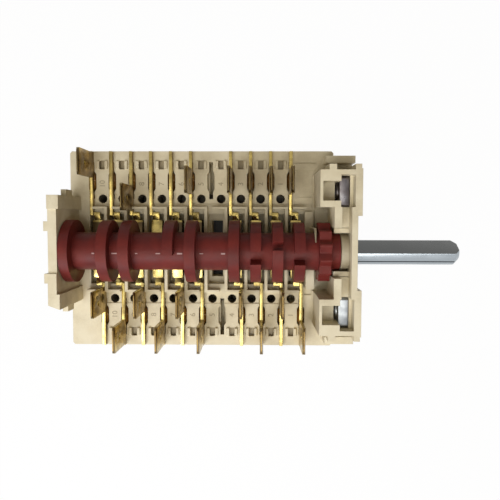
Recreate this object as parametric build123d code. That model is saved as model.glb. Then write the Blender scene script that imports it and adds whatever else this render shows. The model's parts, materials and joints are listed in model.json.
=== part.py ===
from build123d import *

import os
from math import cos, radians, sin

# Cam-type selector switch for an oven, as separate pieces, in millimetres.
# X runs out of the front along the shaft, Y runs across, Z runs up from the closed back.
# The origin is on the shaft axis, in the plane of the two front mounting faces.

# Contact chambers, numbered from the rear end
CHAMBER_COUNT = 11
CHAMBER_PITCH = 5.0
LAST_CHAMBER_X = -13.8
EMPTY_CHAMBERS = (7,)
PARTITION_WALL = 0.75
PARTITION_TOP_Z = -6.2
CHAMBER_HALF_LENGTH = 8.9
CHAMBER_DEPTH = 2.9
LEDGE_WIDTH = 1.2
LEDGE_BAR = 0.55

# Base housing
BASE_REAR_MARGIN = 7.0
BASE_FRONT_X = -4.5
BASE_HALF_WIDTH = 24.6
FLOOR_Z = -8.9
BASE_DEPTH = 9.0
COVER_THICKNESS = 1.5
SIDE_EDGE = 0.5

# Slots, pockets and holes of the contact floor
SLOT_INNER_Y = 12.65
SLOT_OUTER_Y = 21.9
SLOT_DEPTH = 6.1
SLOT_CLEARANCE = 0.08
LENS_CENTRE_Y = 17.0
LENS_HALF_LENGTH = 3.4
LENS_FLAT_HALF = 1.8
LENS_HALF_WIDTH = 0.95
LENS_DEPTH = 3.2
TEST_HOLE_RADIUS = 1.08
TEST_HOLE_DEPTH = 7.5
SMALL_HOLE_SIDES = 10
TEST_HOLE_Y = 12.68
HOLE_BAND_INNER_Y = 11.4
HOLE_BAND_OUTER_Y = 13.9
HOLE_BAND_DEPTH = 0.25
NIB_POCKET_WIDTH = 1.3
NIB_POCKET_INNER_Y = 20.1
NIB_POCKET_OUTER_Y = 22.3
NIB_POCKET_DEPTH = 1.2
BRIDGE_SLOT_CLEARANCE = 0.22

# Floor beside the front towers
PANEL_DEPTH = 0.4
PANEL_REAR_X = -14.2
PANEL_FRONT_X = -9.0
PANEL_OUTER_Y = 19.9
PANEL_INNER_Y = 13.1
PANEL_KINK = 0.9
PANEL_GROOVE_Y = 21.5
PANEL_GROOVE_WIDTH = 0.3
FLOOR_STEPS = 3
FLOOR_STEP_PITCH = 1.0
FLOOR_STEP_DROP = 0.25
FLOOR_STEP_OUTER_Y = 12.4
LOWER_PANEL_REAR_X = -11.6
LOWER_PANEL_OUTER_Y = -11.65
LOWER_PANEL_INNER_Y = -9.85

# Rear bearing wall of the base
REAR_WALL_THICKNESS = 2.65
REAR_WALL_HALF_WIDTH = 13.0
REAR_WALL_TOP_Z = 7.2
REAR_RECESS_DEPTH = 0.65
REAR_RECESS_UPPER_Y = 9.85
REAR_RECESS_LOWER_Y = -9.5
REAR_LOWERED_TOP_Y = -4.8
REAR_TOP_STEP = 0.45
REAR_HOOK_REACH = 0.95
REAR_HOOK_WIDTH = 2.2
REAR_HOOK_Y = 5.95
REAR_HOOK_LOW_Z = 3.5
REAR_HOOK_TOP_Z = 6.75
REAR_PEG_LENGTH = 1.6
REAR_PEG_WIDTH = 1.3
REAR_PEG_LOW_Z = -4.0
REAR_PEG_TOP_Z = 0.0
REAR_CORNER_CUT_X = 2.5
REAR_CORNER_CUT_Y = 0.95

# Cam drum
BARREL_RADIUS = 4.45
CAM_RADIUS = 7.3
CAM_WIDTH = 2.45
CAM_STEP = 0.4
FLANGE_RADIUS = 7.4
FLANGE_FROM_CHAMBER = 4.7
FLANGE_WIDTH = 2.2
FLANGE_EDGE = 0.3
STAR_REAR_X = -9.3
STAR_WIDTH = 2.75
STAR_TEETH = 12
STAR_TIP_RADIUS = 7.05
STAR_ROOT_RADIUS = 5.9
STAR_TIP_HALF_ANGLE = 4.0
STAR_ROOT_HALF_ANGLE = 2.0
JOURNAL_RADIUS = 4.35
JOURNAL_FRONT_X = -4.25
REAR_JOURNAL_RADIUS = 2.6
REAR_JOURNAL_SETBACK = 0.4
RUNNING_CLEARANCE = 0.08

# Operating shaft
SHAFT_RADIUS = 3.0
SHAFT_FLAT = 1.5
SHAFT_FLAT_ANGLE = 56.0
SHAFT_TIP_X = 23.5
SHAFT_INSIDE_DRUM = 30.0
SHAFT_CHAMFER = 1.1
SHAFT_PRESS_CLEARANCE = 0.01
SHAFT_HOLE_CLEARANCE = 0.1

# Keeper finger and well beside the star wheel
WELL_RADIUS = 10.6
KEEPER_STAR_GAP = 0.3
KEEPER_CLEARANCE = 0.2
KEEPER_OUTER_Y = 9.4
KEEPER_FINGER_Y = 5.5
KEEPER_TIP_Y = 2.35
KEEPER_TIP_Z = 5.1
KEEPER_SHOULDER_Z = 1.2
KEEPER_TIP_WIDTH = 0.15
KEEPER_ROOT_WIDTH = 0.6
KEEPER_BLOCK_TOP_Z = -3.4
KEEPER_SILL_Z = -7.4

# Terminals
BLADE_THICKNESS = 0.8
BLADE_OFFSET = 1.38
STRIP_HEIGHT = 1.4
STRIP_OUTER_Y = 24.5
STRIP_INNER_Y = 8.5
ANCHOR_DEPTH = 5.6
ANCHOR_CLEARANCE = 0.1
TAB_WIDTH = 6.3
TAB_TIP_Z = 2.8
TAB_CHAMFER = 0.7
TAB_HOLE_RADIUS = 0.6
TAB_HOLE_FROM_TIP = 4.4
OUTER_TAB_Y = 21.1
MIDDLE_TAB_Y = 16.9
INNER_TAB_Y = 12.8
UPPER_TABS = {1: OUTER_TAB_Y, 3: INNER_TAB_Y, 6: MIDDLE_TAB_Y, 8: MIDDLE_TAB_Y,
              9: MIDDLE_TAB_Y, 10: MIDDLE_TAB_Y, 11: MIDDLE_TAB_Y}
LOWER_TABS = {1: INNER_TAB_Y, 2: OUTER_TAB_Y, 3: INNER_TAB_Y, 4: OUTER_TAB_Y, 5: INNER_TAB_Y,
              6: OUTER_TAB_Y, 8: INNER_TAB_Y, 9: OUTER_TAB_Y, 10: INNER_TAB_Y, 11: OUTER_TAB_Y}

# Tongue, contact tips and bridge
TONGUE_THICKNESS = 0.5
TONGUE_CAM_GAP = 0.3
TONGUE_REAR_X = -1.4
TONGUE_FRONT_X = 1.3
TONGUE_ROOT_Y = 7.3
TONGUE_ROOT_DROP = 1.0
TONGUE_TIP_Y = 3.4
NECK_OUTER_Y = 9.3
NECK_BEND_Y = 8.4
NECK_REAR_X = -1.0
NECK_FRONT_X = 0.6
NECK_LINK_WIDTH = 0.9
NECK_TOP_Z = -8.1
TIP_WIDTH = 1.5
TIP_LENGTH = 1.1
TIP_HEIGHT = 0.6
TIP_Y = 4.6
CONTACT_GAP = 0.4
BRIDGE_WIDTH = 2.4
BRIDGE_THICKNESS = 0.8
BRIDGE_HALF_LENGTH = 7.0

# Front bearing bracket
BRACKET_HALF_WIDTH = 22.85
BRACKET_TOP_Z = 7.0
SHOULDER_Z = -3.0
FLANGE_PLATE = 1.6
SIDE_BAR = 1.75
SIDE_BAR_LENGTH = 7.0
TOWER_REAR_X = -9.45
TOWER_INNER_Y = 10.4
TOWER_OUTER_Y = 18.7
BOSS_INNER_Y = 8.4
BOSS_OUTER_Y = 19.95
BOSS_STEP = 0.25
BOSS_STEP_WIDTH = 1.0
MIDDLE_WALL_REAR_X = -2.3
MIDDLE_WALL_FRONT_X = -0.95
WINDOW_WALL = 0.65
WINDOW_HALF_WIDTH = 2.2
WINDOW_FLOOR_Z = 1.5
COLLAR_POCKET = 0.3
NUT_WALL_TOP_Z = 3.6
OUTER_RIB_X = -6.6
OUTER_RIB_WIDTH = 1.65
INNER_RIB_FRONT_X = -4.5
INNER_RIB_THICKNESS = 1.7
INNER_RIB_Y = 5.7
INNER_RIB_FOOT_Z = -5.5
INNER_RECESS_Z = 3.0
SADDLE_REAR_X = -5.8
SADDLE_WALL = 1.15
SADDLE_TOP_Z = 3.0
FOOT_HEIGHT = 0.9
FOOT_REAR_X = -9.75
FOOT_CORNER_Y = 18.1
FOOT_CORNER_X = -7.25
DECK_THICKNESS = 1.4
STIFFENER = 1.4
STIFFENER_COUNT = 5

# Front fixing
FIXING_SPACING = 28.0
FIXING_HOLE_RADIUS = 2.15
NUT_ACROSS = 7.0
NUT_THICKNESS = 2.3
NUT_CLEARANCE = 0.1
NUT_BORE_RADIUS = 1.65
NUT_COLLAR_RADIUS = 2.05
NUT_COLLAR_LENGTH = 0.5
NUT_CORNER = 0.5

# Bracket screws and cover pegs
SCREW_X = -7.2
SCREW_Y = 14.3
SCREW_RADIUS = 1.4
SCREW_LENGTH = 12.2
SCREW_HEAD_RADIUS = 2.6
SCREW_HEAD_HEIGHT = 2.1
SCREW_SLOT = 0.8
SCREW_HOLE_CLEARANCE = 0.2
THREAD_CLEARANCE = 0.02
COVER_PEG_WIDTH = 2.4
COVER_PEG_LENGTH = 4.0
COVER_PEG_INSET = 2.6
COVER_PEG_Y = 21.4
COVER_PEG_CLEARANCE = 0.03
COVER_EDGE = 0.4

# Detent
PLUNGER_RADIUS = 1.6
PLUNGER_CLEARANCE = 0.1
PLUNGER_LENGTH = 8.2
PLUNGER_NOSE_GAP = 0.1
PLUNGER_NOSE_FLAT = 0.25
PLUNGER_NOSE_HEIGHT = 1.45
SPRING_WIRE_RADIUS = 0.2
SPRING_RADIUS = 1.15
SPRING_TURNS = 4
SPRING_SIDES = 8

# Cam program: angles from straight up (Z) towards +Y between which a cam is cut down
# to the barrel, and angles between which it is only stepped down a little
CAM_VALLEYS = {
    1: ((-152, 152),),
    2: ((168, 192),),
    3: ((150, 178),),
    4: ((-150, 150),),
    5: ((125, 355),),
    6: ((182, 206),),
    8: ((155, 179),),
    9: ((-21, 2.5), (172, 205)),
    10: ((5, 20.5), (140, 170)),
    11: ((-22, 1), (160, 220)),
}
CAM_STEPS = {9: (38.5, 128), 10: (51.5, 120), 11: (39, 130)}

# Places that follow from the sizes above
FIRST_CHAMBER_X = LAST_CHAMBER_X - (CHAMBER_COUNT - 1) * CHAMBER_PITCH
BASE_REAR_X = FIRST_CHAMBER_X - BASE_REAR_MARGIN
FLANGE_REAR_X = FIRST_CHAMBER_X - FLANGE_FROM_CHAMBER
BASE_BOTTOM_Z = FLOOR_Z - BASE_DEPTH
BACK_Z = BASE_BOTTOM_Z - COVER_THICKNESS
CHAMBER_FLOOR_Z = FLOOR_Z - CHAMBER_DEPTH
LEDGE_BAR_OUTER_Y = CHAMBER_HALF_LENGTH + LEDGE_WIDTH + LEDGE_BAR
PARTITION_X = CHAMBER_PITCH / 2
BAR_START_X = BLADE_THICKNESS / 2 - BLADE_OFFSET + ANCHOR_CLEARANCE
STRIP_TOP_Z = FLOOR_Z + STRIP_HEIGHT
TONGUE_TOP_Z = -CAM_RADIUS - TONGUE_CAM_GAP
TONGUE_ROOT_Z = TONGUE_TOP_Z - TONGUE_ROOT_DROP
TONGUE_SLOPE = TONGUE_ROOT_DROP / (TONGUE_ROOT_Y - TONGUE_TIP_Y)
TIP_TOP_Z = TONGUE_TOP_Z - (TIP_Y - TONGUE_TIP_Y) * TONGUE_SLOPE - TONGUE_THICKNESS
MOVING_TIP_LOW_Z = TIP_TOP_Z - TIP_HEIGHT
BRIDGE_TOP_Z = MOVING_TIP_LOW_Z - CONTACT_GAP - TIP_HEIGHT
BRIDGE_UNDER_Z = BRIDGE_TOP_Z - BRIDGE_THICKNESS
TIP_X = (TONGUE_REAR_X + TONGUE_FRONT_X) / 2
STAR_FRONT_X = STAR_REAR_X + STAR_WIDTH
KEEPER_FRONT_X = STAR_REAR_X - KEEPER_STAR_GAP
DETENT_X = STAR_REAR_X + STAR_WIDTH / 2
FLANGE_FRONT_X = FLANGE_REAR_X + FLANGE_WIDTH
SHAFT_END_X = JOURNAL_FRONT_X - SHAFT_INSIDE_DRUM
FIXING_Y = FIXING_SPACING / 2
NUT_SLOT_HALF = NUT_ACROSS / 2 + NUT_CLEARANCE
NUT_FRONT_X = MIDDLE_WALL_REAR_X - NUT_CLEARANCE
NUT_REAR_X = NUT_FRONT_X - NUT_THICKNESS
NUT_SLOT_REAR_X = NUT_REAR_X - NUT_CLEARANCE
SCREW_HEAD_TOP_Z = BASE_BOTTOM_Z + SCREW_HEAD_HEIGHT + SCREW_HOLE_CLEARANCE
PLUNGER_TIP_Z = -STAR_ROOT_RADIUS - PLUNGER_NOSE_GAP
PLUNGER_BOTTOM_Z = PLUNGER_TIP_Z - PLUNGER_LENGTH
FITTED_CHAMBERS = [n for n in range(1, CHAMBER_COUNT + 1) if n not in EMPTY_CHAMBERS]


def chamber_x(number):
    """Centre of a chamber along the switch."""
    return FIRST_CHAMBER_X + (number - 1) * CHAMBER_PITCH


def block(x_span, y_span, z_span):
    """Box between two X, two Y and two Z places."""
    spans = (x_span, y_span, z_span)
    centre = [(low + high) / 2 for low, high in spans]
    size = [abs(high - low) for low, high in spans]
    return Pos(*centre) * Box(*size)


def rod(radius, x_span, y=0.0, z=0.0):
    """Round bar along X."""
    low, high = x_span
    return Pos((low + high) / 2, y, z) * Rot(0, 90, 0) * Cylinder(radius, abs(high - low))


def post(radius, x, y, z_span):
    """Round bar along Z."""
    low, high = z_span
    return Pos(x, y, (low + high) / 2) * Cylinder(radius, abs(high - low))


def small_hole(radius, x_span=None, y=0.0, z=0.0, x=0.0, z_span=None):
    """Flat-sided stand-in for a small round hole along X or Z; its flats touch the round one."""
    if x_span:
        start, direction = Plane.YZ.offset(min(x_span)) * Pos(y, z), (1, 0, 0)
        length = abs(x_span[1] - x_span[0])
    else:
        start, direction = Pos(x, y, min(z_span)), (0, 0, 1)
        length = abs(z_span[1] - z_span[0])
    outline = RegularPolygon(radius, SMALL_HOLE_SIDES, major_radius=False)
    return extrude(start * outline, amount=length, dir=direction)


def prism_along_x(outline, x_span):
    """Prism along X over an outline given in Y and Z."""
    face = make_face(Plane.YZ.offset(min(x_span)) * Polyline(*outline, close=True))
    return extrude(face, amount=abs(x_span[1] - x_span[0]), dir=(1, 0, 0))


def prism_along_z(outline, z_span):
    """Prism along Z over an outline given in X and Y."""
    face = make_face(Pos(0, 0, min(z_span)) * Polyline(*outline, close=True))
    return extrude(face, amount=abs(z_span[1] - z_span[0]), dir=(0, 0, 1))


def in_row(shape, number, upper):
    """Puts a shape drawn for the upper row at a chamber; the lower row is turned half round."""
    placed = shape if upper else Rot(0, 0, 180) * shape
    return Pos(chamber_x(number), 0, 0) * placed


def in_both_rows(make, numbers):
    """The same shape in both rows of several chambers."""
    return [in_row(make(), number, upper) for number in numbers for upper in (True, False)]


def on_both_sides(shape):
    """A shape and its mirror image across the middle plane."""
    return [shape, mirror(shape, about=Plane.XZ)]


def polar(radius, angle):
    """Y and Z of a point at an angle from straight up towards +Y."""
    return radius * sin(radians(angle)), radius * cos(radians(angle))


# Base housing


def blade_slot():
    """Slot that grips a terminal's anchor."""
    half = BLADE_THICKNESS / 2 + SLOT_CLEARANCE
    x_span = (-BLADE_OFFSET - half, -BLADE_OFFSET + half)
    return block(x_span, (SLOT_INNER_Y, SLOT_OUTER_Y), (FLOOR_Z - SLOT_DEPTH, FLOOR_Z + 1))


def lens_pocket():
    """Long six-sided pocket that widens the slot at the floor."""
    outline = []
    for side in (1, -1):
        outline += [
            (-BLADE_OFFSET, LENS_CENTRE_Y + side * LENS_HALF_LENGTH),
            (-BLADE_OFFSET + side * LENS_HALF_WIDTH, LENS_CENTRE_Y + side * LENS_FLAT_HALF),
            (-BLADE_OFFSET + side * LENS_HALF_WIDTH, LENS_CENTRE_Y - side * LENS_FLAT_HALF),
        ]
    return prism_along_z(outline, (FLOOR_Z - LENS_DEPTH, FLOOR_Z + 1))


def contact_pocket():
    """Open chamber under the drum, without the bridge slot."""
    half = (CHAMBER_PITCH - PARTITION_WALL) / 2
    y_span = (-CHAMBER_HALF_LENGTH, CHAMBER_HALF_LENGTH)
    return block((-half, half), y_span, (CHAMBER_FLOOR_Z, FLOOR_Z + 1))


def bridge_slot():
    """Slot through the base that takes a bridge contact."""
    half_width = BRIDGE_WIDTH / 2 + BRIDGE_SLOT_CLEARANCE
    half_length = BRIDGE_HALF_LENGTH + BRIDGE_SLOT_CLEARANCE
    z_span = (BASE_BOTTOM_Z - 1, CHAMBER_FLOOR_Z + 1)
    return block((-half_width, half_width), (-half_length, half_length), z_span)


def ledge_bar():
    """Raised bar between the ledge and the floor, from the blade to the partition."""
    y_span = (LEDGE_BAR_OUTER_Y - LEDGE_BAR, LEDGE_BAR_OUTER_Y)
    return block((BAR_START_X, PARTITION_X), y_span, (FLOOR_Z - 1, PARTITION_TOP_Z))


def partitions():
    """Walls between neighbouring chambers."""
    y_span = (-LEDGE_BAR_OUTER_Y, LEDGE_BAR_OUTER_Y)
    half = PARTITION_WALL / 2
    walls = []
    for number in range(1, CHAMBER_COUNT):
        x = chamber_x(number) + PARTITION_X
        walls.append(block((x - half, x + half), y_span, (CHAMBER_FLOOR_Z - 1, PARTITION_TOP_Z)))
    return walls


def rib_places(upper):
    """Centres of the ribs between neighbouring blades of one row."""
    side = 1 if upper else -1
    shift = side * (PARTITION_X - BLADE_OFFSET)
    numbers = range(1, CHAMBER_COUNT) if upper else range(2, CHAMBER_COUNT + 1)
    return [(chamber_x(number) + shift, side) for number in numbers]


def rib_cuts():
    """Test hole and nib pocket of every rib, and the low band round the holes."""
    cuts = []
    half = NIB_POCKET_WIDTH / 2
    for x, side in rib_places(True) + rib_places(False):
        hole_z = (FLOOR_Z - TEST_HOLE_DEPTH, FLOOR_Z + 1)
        cuts.append(small_hole(TEST_HOLE_RADIUS, x=x, y=side * TEST_HOLE_Y, z_span=hole_z))
        y_span = (side * NIB_POCKET_INNER_Y, side * NIB_POCKET_OUTER_Y)
        cuts.append(block((x - half, x + half), y_span, (FLOOR_Z - NIB_POCKET_DEPTH, FLOOR_Z + 1)))
    band_z = (FLOOR_Z - HOLE_BAND_DEPTH, FLOOR_Z + 1)
    for side in (1, -1):
        shift = -side * BLADE_OFFSET
        band_x = (chamber_x(1) + shift, chamber_x(CHAMBER_COUNT) + shift)
        band_y = (side * HOLE_BAND_INNER_Y, side * HOLE_BAND_OUTER_Y)
        cuts.append(block(band_x, band_y, band_z))
    return cuts


def front_floor_cuts():
    """Sunk panels, groove and low steps of the floor between the last blades and the towers."""
    panel = [
        (PANEL_REAR_X, PANEL_OUTER_Y),
        (PANEL_FRONT_X, PANEL_OUTER_Y),
        (PANEL_FRONT_X, PANEL_INNER_Y),
        (PANEL_REAR_X + PANEL_KINK, PANEL_INNER_Y),
        (PANEL_REAR_X, PANEL_INNER_Y + PANEL_KINK),
    ]
    panel_z = (FLOOR_Z - PANEL_DEPTH, FLOOR_Z + 1)
    groove_y = (PANEL_GROOVE_Y, PANEL_GROOVE_Y + PANEL_GROOVE_WIDTH)
    lower_y = (LOWER_PANEL_OUTER_Y, LOWER_PANEL_INNER_Y)
    cuts = [
        prism_along_z(panel, panel_z),
        block((PANEL_REAR_X, PANEL_FRONT_X), groove_y, panel_z),
        block((LOWER_PANEL_REAR_X, PANEL_FRONT_X), lower_y, panel_z),
    ]
    for step in range(FLOOR_STEPS):
        step_y = (0, FLOOR_STEP_OUTER_Y - step * FLOOR_STEP_PITCH)
        step_z = (FLOOR_Z - (step + 1) * FLOOR_STEP_DROP, FLOOR_Z + 1)
        cuts.append(block((PANEL_REAR_X, PANEL_FRONT_X), step_y, step_z))
    return cuts


def rear_wall():
    """Upright rear wall with the drum's rear bearing, hooks and pegs."""
    inner_x = BASE_REAR_X + REAR_WALL_THICKNESS
    recess_x = inner_x - REAR_RECESS_DEPTH
    half = REAR_WALL_HALF_WIDTH
    wall = block((BASE_REAR_X, inner_x), (-half, half), (BASE_BOTTOM_Z, REAR_WALL_TOP_Z))
    recess_y = (REAR_RECESS_LOWER_Y, REAR_RECESS_UPPER_Y)
    lowered_y = (REAR_LOWERED_TOP_Y, REAR_RECESS_UPPER_Y)
    lowered_z = (REAR_WALL_TOP_Z - REAR_TOP_STEP, REAR_WALL_TOP_Z + 1)
    corner = [
        (BASE_REAR_X - 1, -half - 1),
        (BASE_REAR_X - 1, -half + REAR_CORNER_CUT_Y),
        (BASE_REAR_X, -half + REAR_CORNER_CUT_Y),
        (BASE_REAR_X + REAR_CORNER_CUT_X, -half),
        (BASE_REAR_X + REAR_CORNER_CUT_X, -half - 1),
    ]
    wall -= [
        block((recess_x, inner_x + 1), recess_y, (FLOOR_Z, REAR_WALL_TOP_Z + 1)),
        block((BASE_REAR_X - 1, inner_x + 1), lowered_y, lowered_z),
        prism_along_z(corner, (FLOOR_Z, REAR_WALL_TOP_Z + 1)),
    ]
    hook_x = (BASE_REAR_X - REAR_HOOK_REACH, BASE_REAR_X + 1)
    peg_x = (recess_x - REAR_PEG_WIDTH, recess_x)
    for side in (1, -1):
        y = side * REAR_HOOK_Y
        hook_y = (y - REAR_HOOK_WIDTH / 2, y + REAR_HOOK_WIDTH / 2)
        peg_y = (side * (half - REAR_CORNER_CUT_X), side * (half + REAR_PEG_LENGTH))
        wall += block(hook_x, hook_y, (REAR_HOOK_LOW_Z, REAR_HOOK_TOP_Z))
        wall += block(peg_x, peg_y, (REAR_PEG_LOW_Z, REAR_PEG_TOP_Z))
    return wall


def keeper():
    """Wall between the last chamber and the star wheel, with a pointed finger over the barrel."""
    rear_x = chamber_x(CHAMBER_COUNT) + PARTITION_X - PARTITION_WALL / 2
    finger_x = KEEPER_FRONT_X - KEEPER_ROOT_WIDTH
    low_z = -WELL_RADIUS
    outline = [
        (0, low_z),
        (KEEPER_FINGER_Y, low_z),
        (KEEPER_FINGER_Y, KEEPER_SHOULDER_Z),
        (KEEPER_TIP_Y, KEEPER_TIP_Z),
        (KEEPER_TIP_Y, 0),
        (0, 0),
    ]
    finger = prism_along_x(outline, (finger_x, KEEPER_FRONT_X))
    taper = [
        (finger_x, KEEPER_TIP_Y),
        (finger_x + KEEPER_TIP_WIDTH, KEEPER_TIP_Y),
        (KEEPER_FRONT_X, KEEPER_FINGER_Y),
        (finger_x, KEEPER_FINGER_Y),
    ]
    tip = finger & prism_along_z(taper, (KEEPER_SHOULDER_Z, KEEPER_TIP_Z + 1))
    finger = finger & block((finger_x, KEEPER_FRONT_X), (0, KEEPER_FINGER_Y), (low_z, KEEPER_SHOULDER_Z))
    wall_x = (rear_x, KEEPER_FRONT_X)
    wall = block(wall_x, (-KEEPER_OUTER_Y, 0), (low_z, KEEPER_BLOCK_TOP_Z))
    wall += block(wall_x, (0, KEEPER_OUTER_Y), (low_z, KEEPER_SILL_Z))
    wall += [finger, tip]
    return wall - rod(BARREL_RADIUS + KEEPER_CLEARANCE, (rear_x - 1, KEEPER_FRONT_X + 1))


def base_housing():
    """Moulded base: contact floor, chambers, rear wall and keeper."""
    width = (-BASE_HALF_WIDTH, BASE_HALF_WIDTH)
    base = block((BASE_REAR_X, BASE_FRONT_X), width, (BASE_BOTTOM_Z, FLOOR_Z))
    base = chamfer(base.edges().filter_by(Axis.Z), SIDE_EDGE)
    base += rear_wall()
    chambers = range(1, CHAMBER_COUNT + 1)
    cuts = [in_row(contact_pocket(), number, True) for number in chambers]
    cuts += [rod(WELL_RADIUS, (chamber_x(CHAMBER_COUNT) + PARTITION_X, BASE_FRONT_X + 1))]
    base -= cuts + front_floor_cuts()
    base += partitions() + in_both_rows(ledge_bar, chambers) + [keeper()]
    cuts = [in_row(bridge_slot(), number, True) for number in chambers]
    cuts += in_both_rows(blade_slot, chambers) + in_both_rows(lens_pocket, chambers) + rib_cuts()
    bore = REAR_JOURNAL_RADIUS + RUNNING_CLEARANCE
    cuts.append(rod(bore, (BASE_REAR_X - 1, BASE_REAR_X + REAR_WALL_THICKNESS + 1)))
    plunger_bore = PLUNGER_RADIUS + PLUNGER_CLEARANCE
    cuts.append(post(plunger_bore, DETENT_X, 0, (BASE_BOTTOM_Z - 1, FLOOR_Z)))
    screw_hole = SCREW_RADIUS + SCREW_HOLE_CLEARANCE
    screw_head = SCREW_HEAD_RADIUS + SCREW_HOLE_CLEARANCE
    hole_z, head_z = (BASE_BOTTOM_Z, FLOOR_Z + 1), (BASE_BOTTOM_Z - 1, SCREW_HEAD_TOP_Z)
    cuts += on_both_sides(small_hole(screw_hole, x=SCREW_X, y=SCREW_Y, z_span=hole_z))
    cuts += on_both_sides(small_hole(screw_head, x=SCREW_X, y=SCREW_Y, z_span=head_z))
    return base - cuts - cover_pegs(COVER_PEG_CLEARANCE)


# Back cover


def cover_pegs(clearance=0.0):
    """Four square pegs that the cover snaps in by, or their sockets."""
    half = COVER_PEG_WIDTH / 2 + clearance
    z_span = (BASE_BOTTOM_Z - clearance, BASE_BOTTOM_Z + COVER_PEG_LENGTH + clearance)
    pegs = []
    for x in (BASE_REAR_X + COVER_PEG_INSET, BASE_FRONT_X - COVER_PEG_INSET):
        y_span = (COVER_PEG_Y - half, COVER_PEG_Y + half)
        pegs += on_both_sides(block((x - half, x + half), y_span, z_span))
    return pegs


def back_cover():
    """Flat cover that closes the slots from behind."""
    width = (-BASE_HALF_WIDTH, BASE_HALF_WIDTH)
    plate = block((BASE_REAR_X, BASE_FRONT_X), width, (BACK_Z, BASE_BOTTOM_Z))
    plate = chamfer(plate.edges().filter_by(Axis.Z), SIDE_EDGE)
    plate = chamfer(plate.faces().sort_by(Axis.Z)[0].edges(), COVER_EDGE)
    return plate + cover_pegs()


# Front bearing bracket


def fixing_tower():
    """Tower on the +Y side with its nut slot and window, before the holes."""
    tower = block((TOWER_REAR_X, 0), (TOWER_INNER_Y, TOWER_OUTER_Y), (FLOOR_Z, BRACKET_TOP_Z))
    tower += block((-FLANGE_PLATE, 0), (BOSS_INNER_Y, BOSS_OUTER_Y), (SHOULDER_Z, BRACKET_TOP_Z))
    rib_x = (OUTER_RIB_X - OUTER_RIB_WIDTH / 2, OUTER_RIB_X + OUTER_RIB_WIDTH / 2)
    tower += block(rib_x, (TOWER_OUTER_Y - 1, BOSS_OUTER_Y), (FLOOR_Z, BRACKET_TOP_Z))
    inner_x = (INNER_RIB_FRONT_X - INNER_RIB_THICKNESS, INNER_RIB_FRONT_X)
    inner_y = (INNER_RIB_Y, TOWER_INNER_Y + 1)
    tower += block(inner_x, inner_y, (INNER_RIB_FOOT_Z, BRACKET_TOP_Z))
    recess_x = (INNER_RIB_FRONT_X, MIDDLE_WALL_REAR_X)
    tower += block(recess_x, inner_y, (INNER_RIB_FOOT_Z, INNER_RECESS_Z))
    foot = [
        (FOOT_REAR_X, TOWER_INNER_Y),
        (FOOT_REAR_X, FOOT_CORNER_Y),
        (FOOT_CORNER_X, BRACKET_HALF_WIDTH),
        (-FLANGE_PLATE, BRACKET_HALF_WIDTH),
        (-FLANGE_PLATE, TOWER_INNER_Y),
    ]
    tower += prism_along_z(foot, (FLOOR_Z, FLOOR_Z + FOOT_HEIGHT))
    bar_y = (BRACKET_HALF_WIDTH - SIDE_BAR, BRACKET_HALF_WIDTH)
    tower += block((-SIDE_BAR_LENGTH, 0), bar_y, (FLOOR_Z, SHOULDER_Z))
    return tower


def nut_pocket():
    """Slot for the fixing nut, the window behind it and the lowered wall in front of it."""
    slot_y = (FIXING_Y - NUT_SLOT_HALF, FIXING_Y + NUT_SLOT_HALF)
    cuts = [block((NUT_SLOT_REAR_X, MIDDLE_WALL_REAR_X), slot_y, (-NUT_SLOT_HALF, BRACKET_TOP_Z + 1))]
    window_y = (FIXING_Y - WINDOW_HALF_WIDTH, FIXING_Y + WINDOW_HALF_WIDTH)
    window_x = (TOWER_REAR_X + WINDOW_WALL, MIDDLE_WALL_REAR_X)
    cuts.append(block(window_x, window_y, (WINDOW_FLOOR_Z, BRACKET_TOP_Z + 1)))
    collar_x = (NUT_REAR_X - NUT_COLLAR_LENGTH - COLLAR_POCKET, MIDDLE_WALL_REAR_X)
    cuts.append(block(collar_x, window_y, (-WINDOW_HALF_WIDTH, BRACKET_TOP_Z + 1)))
    cuts.append(block((MIDDLE_WALL_REAR_X, -FLANGE_PLATE), slot_y, (NUT_WALL_TOP_Z, BRACKET_TOP_Z + 1)))
    cuts.append(rod(FIXING_HOLE_RADIUS, (MIDDLE_WALL_REAR_X - 1, 1), y=FIXING_Y))
    notch_y = (BOSS_OUTER_Y, BRACKET_HALF_WIDTH - SIDE_BAR)
    cuts.append(block((-FLANGE_PLATE, 1), notch_y, (FLOOR_Z + FOOT_HEIGHT, SHOULDER_Z + 1)))
    step_y = (BOSS_OUTER_Y - BOSS_STEP_WIDTH, BOSS_OUTER_Y + 1)
    cuts.append(block((-BOSS_STEP, 1), step_y, (SHOULDER_Z, BRACKET_TOP_Z + 1)))
    pilot = SCREW_RADIUS + THREAD_CLEARANCE
    pilot_top = SCREW_HEAD_TOP_Z + SCREW_LENGTH + SCREW_HOLE_CLEARANCE
    cuts.append(small_hole(pilot, x=SCREW_X, y=SCREW_Y, z_span=(FLOOR_Z - 1, pilot_top)))
    return cuts


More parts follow.
